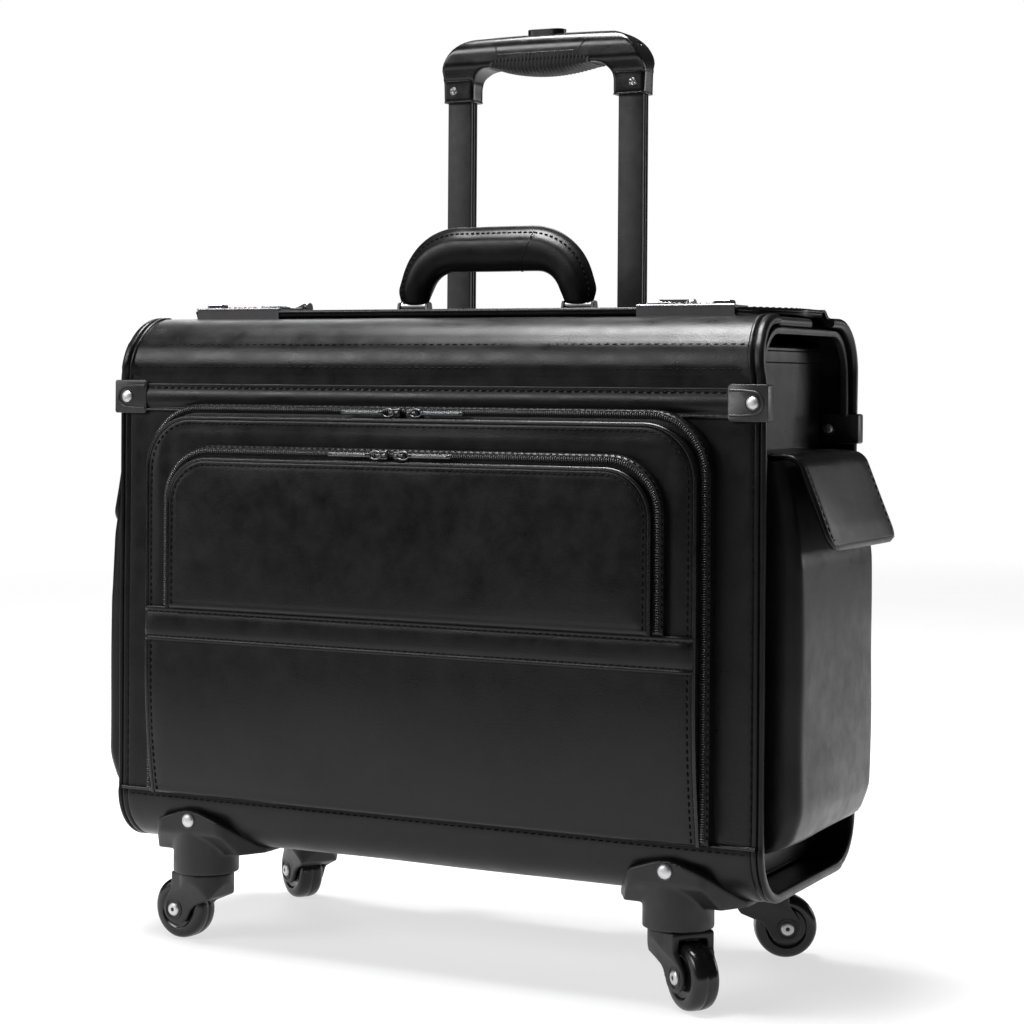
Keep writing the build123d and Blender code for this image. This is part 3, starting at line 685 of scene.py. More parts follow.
def side_panels():
    """Soft side walls with a doubled, twice-stitched hem along the top."""
    for side, name in ((1, "right"), (-1, "left")):
        def face(y, v, away):
            hem = np.where((405.5 - v > 392.5) & (405.5 - v < 404.0), 0.7, 0.0)
            return -(SIDE_FACE + hem + 0.8 * np.minimum(away, 20) / 20 - 0.8)
        points, faces = pad(80.5, 0.0, 334.0, 28.0, 1.6, face, -(SIDE_FACE - 3), 5 + side, 1.5)
        turned = np.column_stack([-side * points[:, 1], points[:, 0], 405.5 - points[:, 2]])
        piece = build(f"side_wall_{name}", turned, faces, LEATHER, "case", "black_leather", 50)
        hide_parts(f"side_panel_{name}")
        x = side * (SIDE_FACE + 0.75)
        for height in (394.7, 402.1):
            stitch("side_hems", [(x, -78, height), (x, 78, height)], (side, 0, 0), 4.6, 3.0, 0.45)
        foot = arch(80.5, 0, 334.0, 28.0, 3.2)
        low = np.array([(side * (SIDE_FACE + 0.05), a, 405.5 - b) for a, b in foot])
        low = low[low[:, 2] < 330]
        stitch("side_seams", low, (side, 0, 0), 5.2, 3.4, 0.45)


def mouth_frames():
    """Leather-covered flat bars round both ends of the mouth."""
    inset = 9.0
    path = spaced(rounded([(-86 + inset, 358.3), (-86 + inset, 423 - inset),
                           (86 - inset, 423 - inset), (86 - inset, 360)],
                          [0, SHOULDER - inset, SHOULDER - inset, 0], False), 3.0)
    out = -outward_of(path)
    loop = rounded([(226, -2), (231, -2), (231, 2), (226, 2)], [0.9] * 4, True, 0.5)
    loop = np.vstack([loop, loop[:1]])[:-1]
    rings = []
    for (y, z), (oy, oz) in zip(path, out):
        rings.append(np.column_stack([loop[:, 0], y + oy * loop[:, 1], z + oz * loop[:, 1]]))
    right = lengthwise(rings)
    left = (mirrored(right[0]), right[1])
    piece = build("mouth_arches", *merge([right, left]), EDGE_PAINT, "case", "frame_leather", 60)
    soften(piece, 0.25, 30.0, 3)
    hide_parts("mouth_frames")


def slab(outline, low, high, edge, crown, steps=10, reach=None):
    """Rounded-edge slab over a plan outline; reach is the half length of its middle line."""
    along = tangents(outline, True)
    inward = np.column_stack([-along[:, 1], along[:, 0]])
    turns = np.linspace(math.pi / 2, -math.pi / 2, 9)
    rings = []
    half, middle = (high - low) / 2, (high + low) / 2
    edge = min(edge, half)
    flat = half - edge
    centre = outline.mean(0)
    reach = reach or 0.0
    anchor = np.column_stack([np.clip(outline[:, 0], -reach, reach) if reach else
                              np.full(len(outline), centre[0]),
                              np.full(len(outline), centre[1])])
    start = outline + inward * edge
    for k in range(steps, 0, -1):
        share = k / steps
        plan = start + (anchor - start) * share
        rise = crown * math.sin(share * math.pi / 2)
        rings.append(np.column_stack([plan, np.full(len(plan), high + rise)]))
    for turn in turns:
        plan = outline + inward * edge * (1 - math.cos(turn))
        height = middle + edge * math.sin(turn) + math.copysign(flat, math.sin(turn) + 1e-9)
        rings.append(np.column_stack([plan, np.full(len(plan), height)]))
    for k in range(1, steps + 1):
        plan = start + (anchor - start) * k / steps
        rings.append(np.column_stack([plan, np.full(len(plan), low)]))
    return lengthwise(rings)


def counter_clockwise(outline):
    x, y = outline[:, 0], outline[:, 1]
    area = (x * np.roll(y, -1) - np.roll(x, -1) * y).sum()
    return outline if area > 0 else outline[::-1]


def lid_rests():
    parts = []
    outline = spaced(rounded([(213, -46), (229.3, -46), (229.3, 18), (213, 18)],
                             [2, 2, 7, 3], True, 1.0), 1.6, True)
    right = slab(counter_clockwise(outline), 416.0, 422.7, 2.9, 0.0, 4)
    parts.append(right)
    parts.append((mirrored(right[0]), right[1]))
    piece = build("lid_rest_tongues", *merge(parts), EDGE_PAINT, "case", "frame_leather", 60)
    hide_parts("lid_rests")


def top_lid():
    outline = rounded([(-200.8, -46), (200.8, -46), (226, 6), (226, 45.7), (-226, 45.7), (-226, 6)],
                      [3, 3, 30, 6, 6, 30], True, 1.5)
    outline = counter_clockwise(spaced(outline, 3.0, True))
    points, faces = slab(outline, 423.3, 429.0, 2.6, 0.9, 12, 190.0)
    piece = build("top_lid_leather", points, faces, LEATHER, "top_lid", "black_leather", 60)
    soften(piece, 0.35, 70.0, 9)
    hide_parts("top_lid")
    along = tangents(outline, True)
    inward = np.column_stack([-along[:, 1], along[:, 0]])
    rim = outline + inward * 0.9
    tube = np.column_stack([rim, np.full(len(rim), 427.6)])
    build("top_lid_piping", *round_tube(tube, 1.5, 10, True), TRIM, "top_lid", "black_leather")
    row = outline + inward * 6.0
    clear = [p for p in row if p[1] > -28]
    runs, run = [], [clear[0]]
    for p in clear[1:]:
        if np.linalg.norm(p - run[-1]) > 8:
            runs.append(run)
            run = []
        run.append(p)
    runs.append(run)
    for run in runs:
        if len(run) > 3:
            path = np.column_stack([np.array(run), np.full(len(run), 429.2)])
            stitch("top_lid", path, (0, 0, 1), 5.4, 3.6, 0.5)


def rear_hinge():
    """Leather strip from the top lid's rear edge down on to the rear shoulder."""
    section = [(41.0, 429.1), (45.0, 429.4), (47.2, 428.2), (48.3, 426.2), (49.5, 424.5),
               (52.5, 423.7), (57.5, 422.9), (57.2, 421.9), (52.0, 422.6), (48.5, 422.9),
               (46.6, 424.9), (45.6, 426.6), (44.2, 427.6), (41.0, 427.8)]
    rings = [[(x * (1 + 0.02 * np.clip((y - 46.5) / 11, 0, 1)), y, z) for y, z in section]
             for x in np.linspace(-226, 226, 80)]
    points, faces = lengthwise(rings)
    piece = build("rear_hinge_leather", points, faces, LEATHER, None, "black_leather", 60)
    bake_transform(piece)


# ---- clips and rivets ---------------------------------------------------------------------
def corner_clips():
    piece = copied("corner_clips", "corner_clips_shape", CLIP, "case")
    work = bmesh.new()
    work.from_mesh(piece.data)
    for low, high, radius in ((0.0, 213.0, 2.6), (237.0, 240.0, 1.6)):
        ends = [e for e in work.edges
                if abs((e.verts[0].co - e.verts[1].co).normalized().y) > 0.99
                and low < abs(e.verts[0].co.x) / MM < high]
        bmesh.ops.bevel(work, geom=ends, offset=radius * MM, offset_type="OFFSET", segments=6,
                        profile=0.5, affect="EDGES")
    work.to_mesh(piece.data)
    work.free()
    bevel_edges(piece, 0.4)
    shade(piece.data, 35)
    parts = []
    for face, z in ((-1, 369.55), (1, 351.85)):
        y = face * 88.85
        centre = np.array([227.9, z])
        arc = [centre + 6.9 * np.array([math.cos(a), math.sin(a)])
               for a in np.linspace(math.radians(80), math.radians(-80), 20)]
        line = [(213.3, z + 7.6), (221, z + 7.6)] + arc + [(221, z - 7.6), (213.3, z - 7.6)]
        path = spaced(np.array(line), 1.0)
        ridge = round_tube([(px, y, pz) for px, pz in path], 0.75, 8, up=(0, 1, 0))
        parts += [ridge, (mirrored(ridge[0]), ridge[1])]
        ring = [(217 + 3.9 * math.cos(a), face * 78.9, z + 3.9 * math.sin(a))
                for a in np.linspace(0, 2 * math.pi, 28, endpoint=False)]
        eyelet = round_tube(ring, 0.6, 8, True, up=(0, 1, 0))
        parts += [eyelet, (mirrored(eyelet[0]), eyelet[1])]
    build("clip_ridges", *merge(parts), CLIP, "case", "clip_metal", 60)


# ---- pockets ------------------------------------------------------------------------------
def large_face(z):
    """Front of the large pocket's panel, falling back toward its foot."""
    share = np.clip((z - 102.6) / 90.0, 0, 1)
    return LARGE_PANEL + 8.6 * (1 - share) ** 2


def front_pockets():
    def step_face(x, z, away):
        return np.full_like(x, LARGE_STEP) + np.clip(1.5 - away / 4, 0, 1.5)

    def panel_face(x, z, away):
        valley = 0.6 * np.exp(-((away - 4.2) / 0.9) ** 2)
        beside = np.maximum(np.abs(x) - 180.5, z - 338.0)
        valley += np.where(z > 229, 1.0 * np.exp(-(np.maximum(beside, 0) / 3.0) ** 2), 0.0)
        crown = 2.0 * (1 - np.exp(-away / 14.0))
        return large_face(z) + valley - crown + 1.6

    def small_step_face(x, z, away):
        return np.full_like(x, SMALL_STEP) + np.clip(1.2 - away / 4, 0, 1.2)

    def small_panel_face(x, z, away):
        valley = 0.5 * np.exp(-((away - 4.0) / 0.9) ** 2)
        crown = 1.6 * (1 - np.exp(-away / 30.0))
        return SMALL_PANEL + valley - crown + 1.5

    step = pad(204.0, 102.6, 365.0, 40.0, 3.0, step_face, -85.6, 11, 0.2)
    panel = pad(198.5, 102.6, 356.5, 34.0, 3.6, panel_face, -96.0, 12, 1.1)
    piece = build("front_pocket_large_leather", *merge([step, panel]), LEATHER, "case",
                  "black_leather", 60)
    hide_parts("front_pocket_large")
    step = pad(180.5, 229.8, 338.0, 36.0, 2.4, small_step_face, -106.5, 13, 0.2)
    panel = pad(174.0, 229.8, 329.5, 30.0, 3.4, small_panel_face, -112.0, 14, 1.0)
    piece = build("front_pocket_small_leather", *merge([step, panel]), LEATHER, "case",
                  "black_leather", 60)
    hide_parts("front_pocket_small")

    edge = arch(198.5, 103, 356.5, 34.0, 0.4)
    path = [(x, float(large_face(np.array(z))) + 2.6, z) for x, z in edge]
    build("large_panel_piping", *round_tube(path, 1.35, 10, up=(0, 1, 0)), TRIM, "case",
          "black_leather")
    edge = arch(174.0, 230, 329.5, 30.0, 0.4)
    path = [(x, SMALL_PANEL + 2.6, z) for x, z in edge]
    build("small_panel_piping", *round_tube(path, 1.25, 10, up=(0, 1, 0)), TRIM, "case",
          "black_leather")

    row = [(x, float(large_face(np.array(z))) + 0.9, z) for x, z in arch(198.5, 104, 356.5, 34, 4.2)]
    stitch("pockets", row, (0, -1, 0), 4.6, 3.0, 0.45)
    row = [(x, SMALL_PANEL + 1.0, z) for x, z in arch(174.0, 232, 329.5, 30, 4.0)]
    stitch("pockets", row, (0, -1, 0), 4.5, 2.9, 0.45)
    rim_stitches(arch(204.0, 106, 365.0, 40, 0.35), LARGE_STEP + 1.7)
    rim_stitches(arch(180.5, 233, 338.0, 36, 0.3), SMALL_STEP + 1.4)


def rim_stitches(path, y):
    """Short stitches along the outer edge of a pocket's step."""
    along = tangents(path)
    row = np.column_stack([path[:, 0], np.full(len(path), y), path[:, 1]])
    out = np.column_stack([-along[:, 1], np.full(len(path), -0.8), along[:, 0]])
    stitch("pockets", row, out, 4.4, 2.3, 0.42)


def zip_runs():
    """Zip tapes and their interlocked coils, for both front pockets."""
    for name, half, low, high, radius, y in (("large", 203.3, 106.6, 364.0, 39.0, LARGE_STEP),
                                             ("small", 179.5, 232.0, 336.5, 35.0, SMALL_STEP)):
        path = arch(half, low, high, radius, 2.1, 2.0)
        along = tangents(path)
        side = np.column_stack([along[:, 1], -along[:, 0]])
        section = [(-2.3, 0.3), (-2.2, -0.55), (-0.9, -0.8), (0.9, -0.8), (2.2, -0.55), (2.3, 0.3)]
        rings = [[(px + sx * a, y + b, pz + sz * a) for a, b in section]
                 for (px, pz), (sx, sz) in zip(path, side)]
        piece = build(f"zip_tape_{name}", *lengthwise(rings), TAPE, "case", "zip_track", 60)
        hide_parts(f"zipper_{name}")
        parts = []
        teeth = spaced(path, 1.5)
        forward = tangents(teeth)
        for k, ((px, pz), (fx, fz)) in enumerate(zip(teeth, forward)):
            sx, sz = fz, -fx
            lean = 0.35
            a = 1.25 if k % 2 else -1.25
            ends = ((a, -0.9), (a * 0.45, -1.55), (-a * 0.35, -1.5), (-a * 0.75, -1.0))
            line = [(px + sx * u + fx * lean * u * 0.3, y + v, pz + sz * u + fz * lean * u * 0.3)
                    for u, v in ends]
            parts.append(round_tube(line, 0.42, 5, up=(0.3, 1, 0.2)))
        build(f"zip_coil_{name}", *merge(parts), TEETH, "case", "zip_track", 70)


def zip_sliders():
    """Sliders with a wire loop and a thin rounded pull lying along the zip."""
    for name, z, face_y in (("large", 361.0, LARGE_STEP), ("small", 334.4, SMALL_STEP)):
        for side, x, aim in (("left", -11.0, -1), ("right", 2.0, 1)):
            back = face_y - 2.1
            node = f"zip_slider_{name}_{side}"
            parts = [rod_slab([(x - 4.3, z - 2.4), (x + 4.3, z - 3.0), (x + 4.3, z + 3.0),
                               (x - 4.3, z + 2.4)], 1.3, back - 2.3, back, 0.7),
                     rod_slab([(x - 3.4, z - 0.8), (x + 3.4, z - 0.8), (x + 3.4, z + 0.8),
                               (x - 3.4, z + 0.8)], 0.7, back - 3.6, back - 2.2, 0.5)]
            loop = [(x + aim * (3.6 + 4.2 * math.cos(a)), back - 3.9, z + 2.5 * math.sin(a))
                    for a in np.linspace(0, 2 * math.pi, 32, endpoint=False)]
            parts.append(round_tube(loop, 0.55, 8, True, up=(0, 1, 0)))
            near, far = sorted((x + aim * 7.4, x + aim * 38.0))
            parts.append(rod_slab([(near, z - 1.3), (far, z - 1.3), (far, z + 1.3), (near, z + 1.3)],
                                  1.1, back - 5.0, back - 4.0, 0.45))
            parts.append(rod_slab([(near + 3, z - 0.45), (far - 3, z - 0.45), (far - 3, z + 0.45),
                                   (near + 3, z + 0.45)], 0.4, back - 5.35, back - 4.8, 0.25))
            piece = build(f"{node}_shape", *merge(parts), ZIP_METAL, node, "zip_metal", 40)
            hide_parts(node)


def rod_slab(corners, radius, front, back, edge):
    """Small rounded plate lying in the front plane between two depths."""
    outline = counter_clockwise(spaced(rounded(corners, [radius] * 4, True, 0.3), 0.6, True))
    points, faces = slab(outline, front, back, edge, 0.0, 3)
    return points[:, [0, 2, 1]], faces


def body_rivets():
    """Matt domed heads, each in a thin dark ring."""
    heads, rings = [], []
    places = [(s * 174.0, e * 91.0, 84.6, e, 4.8, 1.9) for s in (-1, 1) for e in (-1, 1)]
    places += [(s * 227.9, -88.8, 369.55, -1, 4.2, 2.0) for s in (-1, 1)]
    places += [(s * 227.9, 88.8, 351.85, 1, 4.2, 2.0) for s in (-1, 1)]
    places += [(s * 217.0, -79.0, 369.55, 1, 3.4, 1.4) for s in (-1, 1)]
    places += [(s * 217.0, 79.0, 351.85, -1, 3.4, 1.4) for s in (-1, 1)]
    for x, y, z, out, radius, rise in places:
        profile = [(0.01, rise), (radius * 0.35, rise * 0.96), (radius * 0.65, rise * 0.78),
                   (radius * 0.88, rise * 0.42), (radius, 0.05), (radius, -0.5)]
        turned, skin = lathe([(r, out * w) for r, w in profile], 40)
        heads.append((turned + np.array([x, y, z]), skin))
        loop = [(x + (radius + 0.35) * math.cos(a), y, z + (radius + 0.35) * math.sin(a))
                for a in np.linspace(0, 2 * math.pi, 40, endpoint=False)]
        rings.append(round_tube(loop, 0.45, 8, True, up=(0, 1, 0)))
    piece = build("rivet_heads", *merge(heads), NICKEL, "case", "chrome", 50)
    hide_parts("body_rivets")
    build("rivet_rings", *merge(rings), CLIP, "case", "clip_metal", 60)


def band():
    """Flat stitched band sewn across the large pocket below the small one."""
    half = 199.2
    xs = np.concatenate([-half + 4 * np.array([0, 0.04, 0.14, 0.3, 0.55, 1.0]),
                         np.linspace(-half + 10, half - 10, 70),
                         half - 4 * np.array([1.0, 0.55, 0.3, 0.14, 0.04, 0])])
    section = [(-0.6, 207.2), (1.5, 207.3), (1.9, 208.2), (1.7, 209.2), (1.2, 210.2), (1.6, 211.2),
               (2.0, 214.5), (2.0, 222.0), (1.6, 225.6), (1.2, 226.6), (1.7, 227.6), (2.0, 228.6),
               (1.6, 229.7), (-0.6, 229.8)]
    rings = []
    for x in xs:
        away = half - abs(x)
        drop = float(roll_off(np.array(away), 4.0)) * 2.2
        rings.append([(x, float(large_face(np.array(z))) + drop - n, z) for n, z in section])
    points, faces = lengthwise(rings)
    piece = build("pocket_band", points, faces, LEATHER, "case", "black_leather", 60)
    soften(piece, 0.3, 45.0, 8)
    for z in (210.2, 226.6):
        y = float(large_face(np.array(z))) - 1.35
        stitch("band", [(-196, y, z), (196, y, z)], (0, -1, 0), 4.8, 3.2, 0.48)


def side_pockets():
    """Sagging side pockets: an open-topped shell drawn round a U-shaped plan."""
    rise = spaced(rounded([(212.2, 99), (225, 94.6), (247, 102), (254, 121), (253.8, 272),
                           (247.5, 312), (241, 333.4)], [0, 8, 12, 22, 60, 30, 0], False, 1.5), 4.0)
    for side, name in ((1, "right"), (-1, "left")):
        rows = []
        for x_face, z in rise:
            fuller = 0.96 if side > 0 else 1 + 0.06 * np.clip((268 - z) / 40, 0, 1)
            depth = max((x_face - SIDE_FACE) * fuller, 0.05)
            corner = min(6.0, depth * 0.8)
            plan = rounded([(212, -70), (212 + depth, -70), (212 + depth, 70), (212, 70)],
                           [0, corner, corner, 0], False, 1.0)
            face = spaced(plan, plan_step(plan, 64))
            bulge = 1.4 * math.sin(math.pi * np.clip((z - 95) / 240, 0, 1))
            middle = np.clip(1 - (face[:, 1] / 62) ** 2, 0, 1)
            x = face[:, 0] + bulge * middle * (face[:, 0] > 212 + depth - 1)
            rows.append(np.column_stack([side * x, face[:, 1], np.full(len(face), z)]))
        rows = np.array(rows)
        faces = grid_faces(*rows.shape[:2])
        piece = build(f"side_pocket_leather_{name}", rows.reshape(-1, 3), faces, LEATHER, "case",
                      "black_leather", 60)
        aim_outward(piece, side)
        soften(piece, 1.1, 62.0, 20 + side)
        wall = piece.modifiers.new("wall", "SOLIDIFY")
        wall.thickness = 2.4 * MM
        wall.offset = -1.0
        apply_modifiers(piece)
        piece.data.shade_smooth()
        piece.data.set_sharp_from_angle(angle=math.radians(50))
        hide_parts(f"side_pocket_{name}")
        for face in (-1, 1):
            seam = [(side * 215.2, face * 70.0, 104), (side * 215.2, face * 70.0, 329)]
            stitch("side_pockets", spaced(seam, 6.0), (0, face, 0), 5.0, 3.2, 0.45)


def plan_step(plan, count):
    return np.linalg.norm(np.diff(plan, axis=0), axis=1).sum() / count


def aim_outward(piece, side):
    """Makes an open sheet's normals face away from the case on the given side."""
    mesh = piece.data
    total = sum((p.normal.x * p.area for p in mesh.polygons))
    if total * side < 0:
        mesh.flip_normals()


def side_flaps():
    """Thick leather flaps bent over the side pockets, crowned and stitched round the edge."""
    for side, name, bend, lip in ((1, "right", 246.7, 269.2), (-1, "left", 247.4, 257.6)):
        path = spaced(rounded([(213.0, 336.6), (bend, 336.6), (lip, 280.6)], [0, 10, 0], False, 1.2),
                      2.2)
        along = tangents(path)
        out = np.column_stack([-along[:, 1], along[:, 0]])
        length = plan_step(path, 1)
        walked = np.linspace(0, length, len(path))
        rings, border = [], []
        for (x, z), (ox, oz), s in zip(path, out, walked):
            left = length - s
            curve = 11.0
            trim = curve - math.sqrt(max(curve**2 - max(curve - left, 0) ** 2, 0))
            half = 62.0 - trim
            ys = np.concatenate([[-half, -half + 0.25, -half + 1.0, -half + 2.4, -half + 3.8,
                                  -half + 4.6, -half + 5.6],
                                 np.linspace(-half + 8, half - 8, 21),
                                 [half - 5.6, half - 4.6, half - 3.8, half - 2.4, half - 1.0,
                                  half - 0.25, half]])
            reach = half - np.abs(ys)
            top = 2.0 - 2.0 * np.clip(1 - reach / 1.4, 0, 1) ** 2
            top -= 0.5 * np.exp(-((reach - 4.2) / 0.8) ** 2)
            top += 1.3 * (1 - np.exp(-np.maximum(reach - 4, 0) / 16)) * min(1, left / 14)
            tip = math.sqrt(max(0.0, 1 - max(0.0, 1 - left / 1.8) ** 2))
            low = -2.0 + 2.0 * np.clip(1 - reach / 1.4, 0, 1) ** 2
            upper = np.column_stack([side * (x + ox * top * tip), ys, z + oz * top * tip])
            lower = np.column_stack([side * (x + ox * low * tip), ys, z + oz * low * tip])[::-1]
            rings.append(np.vstack([upper, lower[1:-1]]))
            border.append((side * (x + ox * 1.75), half - 4.2, z + oz * 1.75, side * ox, oz))
        points, faces = lengthwise(rings)
        piece = build(f"side_flap_leather_{name}", points, faces, LEATHER, f"side_flap_{name}",
                      "black_leather", 60)
        soften(piece, 0.5, 40.0, 30 + side)
        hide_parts(f"side_flap_{name}")
        border = np.array([b for b, s in zip(border, walked) if s < length - 5.5])
        for end in (1, -1):
            row = np.column_stack([border[:, 0], end * border[:, 1], border[:, 2]])
            normal = np.column_stack([border[:, 3], np.zeros(len(border)), border[:, 4]])
            stitch(f"side_flap_{name}", row, normal, 4.6, 3.0, 0.45)
        last = border[-1]
        row = [(last[0], last[1], last[2]), (last[0], -last[1], last[2])]
        stitch(f"side_flap_{name}", row, (last[3], 0, last[4]), 4.6, 3.0, 0.45)


# ---- carry handle -------------------------------------------------------------------------
def carry_handle():
    """Padded leather handle: a welt along its outer rim over a round padded body."""
    axis_y, low = 18.0, 433.5
    outer = rounded([(-72.8, low), (-76, low + 10), (-62.5, 487), (62.5, 487), (76, low + 10),
                     (72.8, low)], [0, 6, 46, 46, 6, 0], False, 1.5)
    inner = rounded([(-53, low), (-43.5, 456), (43.5, 456), (53, low)], [0, 17, 17, 0], False, 1.5)
    count = 72
    outer = spaced(outer, plan_step(outer, count))[: count + 1]
    inner = spaced(inner, plan_step(inner, count))[: count + 1]
    turns = np.linspace(0, 2 * math.pi, 28, endpoint=False)
    rings, rim = [], []
    for k, (o, i) in enumerate(zip(outer, inner)):
        share = abs(2 * k / count - 1)
        height = (o[1] + i[1]) / 2 - low
        thick = 8.5 if height > 20 else 4.1 + (8.5 - 4.1) * math.sin(max(height, 0) / 20 * 1.57)
        middle, half = (o + i) / 2, (o - i) / 2
        reach = np.linalg.norm(half)
        aim = half / reach
        ring = []
        for t in turns:
            up, wide = math.cos(t), math.sin(t)
            shape = abs(wide) ** 0.9 * math.copysign(1, wide)
            body = up * reach if up < 0.55 else reach * (0.55 + (up - 0.55))
            narrow = 1.0 - 0.72 * np.clip((up - 0.45) / 0.35, 0, 1) ** 1.5
            p = middle + aim * body
            ring.append((p[0], axis_y + shape * thick * narrow, p[1]))
        rings.append(ring)
        seam = middle + aim * reach * 0.70
        rim.append((seam[0], thick, seam[1], share))
    points, faces = lengthwise(rings)
    piece = build("carry_handle_leather", points, faces, LEATHER, "carry_handle", "black_leather", 70)
    piece.modifiers.new("fine", "SUBSURF").render_levels = 1
    piece.modifiers["fine"].levels = 1
    apply_modifiers(piece)
    piece.data.shade_smooth()
    soften(piece, 0.3, 22.0, 17)
    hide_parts("carry_handle")
    rim = np.array(rim)
    for face in (-1, 1):
        row = np.column_stack([rim[:, 0], axis_y + face * (0.42 * rim[:, 1] + 0.6), rim[:, 2]])
        stitch("carry_handle", row, (0, face, 0), 4.0, 2.7, 0.5)
    cross = int(count * 0.66)
    o, i = outer[cross], inner[cross]
    middle, half = (o + i) / 2, (o - i) / 2
    loop = []
    for t in np.linspace(0.75, 2 * math.pi - 0.75, 30):
        p = middle + half * math.cos(t) * 1.0
        loop.append((p[0], axis_y + math.sin(t) * 8.55, p[1]))
    build("carry_handle_cross_seam", *round_tube(loop, 0.35, 6), TRIM, "carry_handle",
          "black_leather")


# ---- locks --------------------------------------------------------------------------------
def locks():
    bevelled("handle_mounts", 0.6, CLIP, "top_lid", 3)
    for side, name in ((1, "right"), (-1, "left")):
        piece = bevelled(f"lock_case_{name}", 0.45, LOCK_BODY, "top_lid", 2,
                         (LOCK_TOP,))
        for polygon in piece.data.polygons:
            if polygon.normal.z > 0.7:
                polygon.material_index = 1
        xs = sorted((side * 132.6, side * 199.9))
        lip = spaced(rounded([(xs[0], -47.1), (xs[1], -47.1), (xs[1], -45.9), (xs[0], -45.9)],
                             [0.5] * 4, True, 0.3), 1.2, True)
        build(f"lock_lip_{name}", *slab(counter_clockwise(lip), 429.3, 430.6, 0.5, 0.0, 2, 190.0),
              LOCK_TOP, "top_lid", "lock_metal")
        bevelled(f"lock_slide_{name}", 0.5, CHROME, f"lock_slide_{name}")
        bevelled(f"lock_hasp_{name}", 0.4, CHROME, f"lock_hasp_{name}")
        hasp_knurl(side, name)
        for number, centre in enumerate((162.0, 170.0, 178.0), 1):
            dial(side * centre, f"lock_dial_{number}_{name}", number + (3 if side > 0 else 0))


def hasp_knurl(side, name):
    """Fine ribs round the hasp's thumb disc."""
    parts = []
    x, y = side * 144.5, -31.0
    for a in np.linspace(math.radians(172), math.radians(368), 44):
        px, py = x + 10.0 * math.cos(a), y + 10.0 * math.sin(a)
        parts.append(round_tube([(px, py, 430.9), (px, py, 431.6), (px, py, 432.3)], 0.42, 6,
                                up=(1, 0, 0)))
    build(f"lock_hasp_ribs_{name}", *merge(parts), CHROME, f"lock_hasp_{name}", "chrome", 60)


def dial(centre, node, first):
    """Ten-sided number wheel with raised rims and one digit on each flat."""
    axis = np.array([centre, -35.0, 426.2])
    flat_radius = DIAL_FLAT_RADIUS
    stations = ((-2.5, 4.2), (-2.5, 5.5), (-2.2, 5.7), (-1.9, 5.6), (-1.8, flat_radius),
                (1.8, flat_radius), (1.9, 5.6), (2.2, 5.7), (2.5, 5.5), (2.5, 4.2))
    rings = []
    for offset, radius in stations:
        ring = []
        for k in range(40):
            a = 2 * math.pi * k / 40
            flat = math.cos(math.pi / 10) / math.cos((a + math.pi / 10) % (math.pi / 5) - math.pi / 10)
            r = radius * flat if radius == flat_radius else radius * (1 - 0.012 * (k % 2))
            ring.append(axis + np.array([offset, r * math.cos(a), r * math.sin(a)]))
        rings.append(ring)
    piece = build(f"{node}_wheel", *lengthwise(rings), DIAL, node, "dial_metal", 25)
    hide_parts(node)
    for tone, look in (("black", BLACK_INK), ("red", RED_INK)):
        parts = []
        for digit in range(10):
            if (digit % 3 == 0) != (tone == "red"):
                continue
            turn = math.pi / 2 + (digit + first * 0.5) * math.pi / 5
            parts.append(digit_mesh(digit, axis, turn))
        build(f"{node}_digits_{tone}", *merge(parts), look, node, "dial_metal", 20)


digit_shapes = {}


def digit_mesh(digit, axis, turn):
    """Generic numeral laid on the dial's flat at an angle round its axis."""
    if digit not in digit_shapes:
        curve = bpy.data.curves.new(f"numeral_{digit}", "FONT")
        curve.body = str(digit)
        curve.size = 4.0
        curve.extrude = 0.12
        curve.align_x, curve.align_y = "CENTER", "CENTER"
        curve.resolution_u = 3
        holder = bpy.data.objects.new(f"numeral_{digit}", curve)
        bpy.context.scene.collection.objects.link(holder)
        graph = bpy.context.evaluated_depsgraph_get()
        mesh = bpy.data.meshes.new_from_object(holder.evaluated_get(graph))
        points = np.array([v.co for v in mesh.vertices])
        digit_shapes[digit] = (points, [tuple(p.vertices) for p in mesh.polygons])
        bpy.data.objects.remove(holder)
        bpy.data.meshes.remove(mesh)
    points, faces = digit_shapes[digit]
    out = np.array([0, math.cos(turn), math.sin(turn)])
    up = np.array([0, -math.sin(turn), math.cos(turn)])
    face = DIAL_DIGIT_RADIUS * math.cos(math.pi / 10) + 0.1
    placed = [axis + np.array([p[0], 0, 0]) + up * p[1] + out * (face + p[2]) for p in points]
    return np.array(placed), faces


# ---- trolley ------------------------------------------------------------------------------
def tube_outline(width, depth, groove):
    """Rounded tube section with two shallow grooves down each narrow side."""
    w, d = width / 2, depth / 2
    side = [(w, -d + 1.2), (w, -d * 0.55), (w - groove, -d * 0.48), (w - groove, -d * 0.18),
            (w, -d * 0.12), (w, d * 0.12), (w - groove, d * 0.18), (w - groove, d * 0.48),
            (w, d * 0.55), (w, d - 1.2)]
    right = [(w - 1.2, -d), (w - 0.35, -d + 0.35)] + side + [(w - 0.35, d - 0.35), (w - 1.2, d)]
    left = [(-x, y) for x, y in reversed(right)]
    return np.array(right + left)


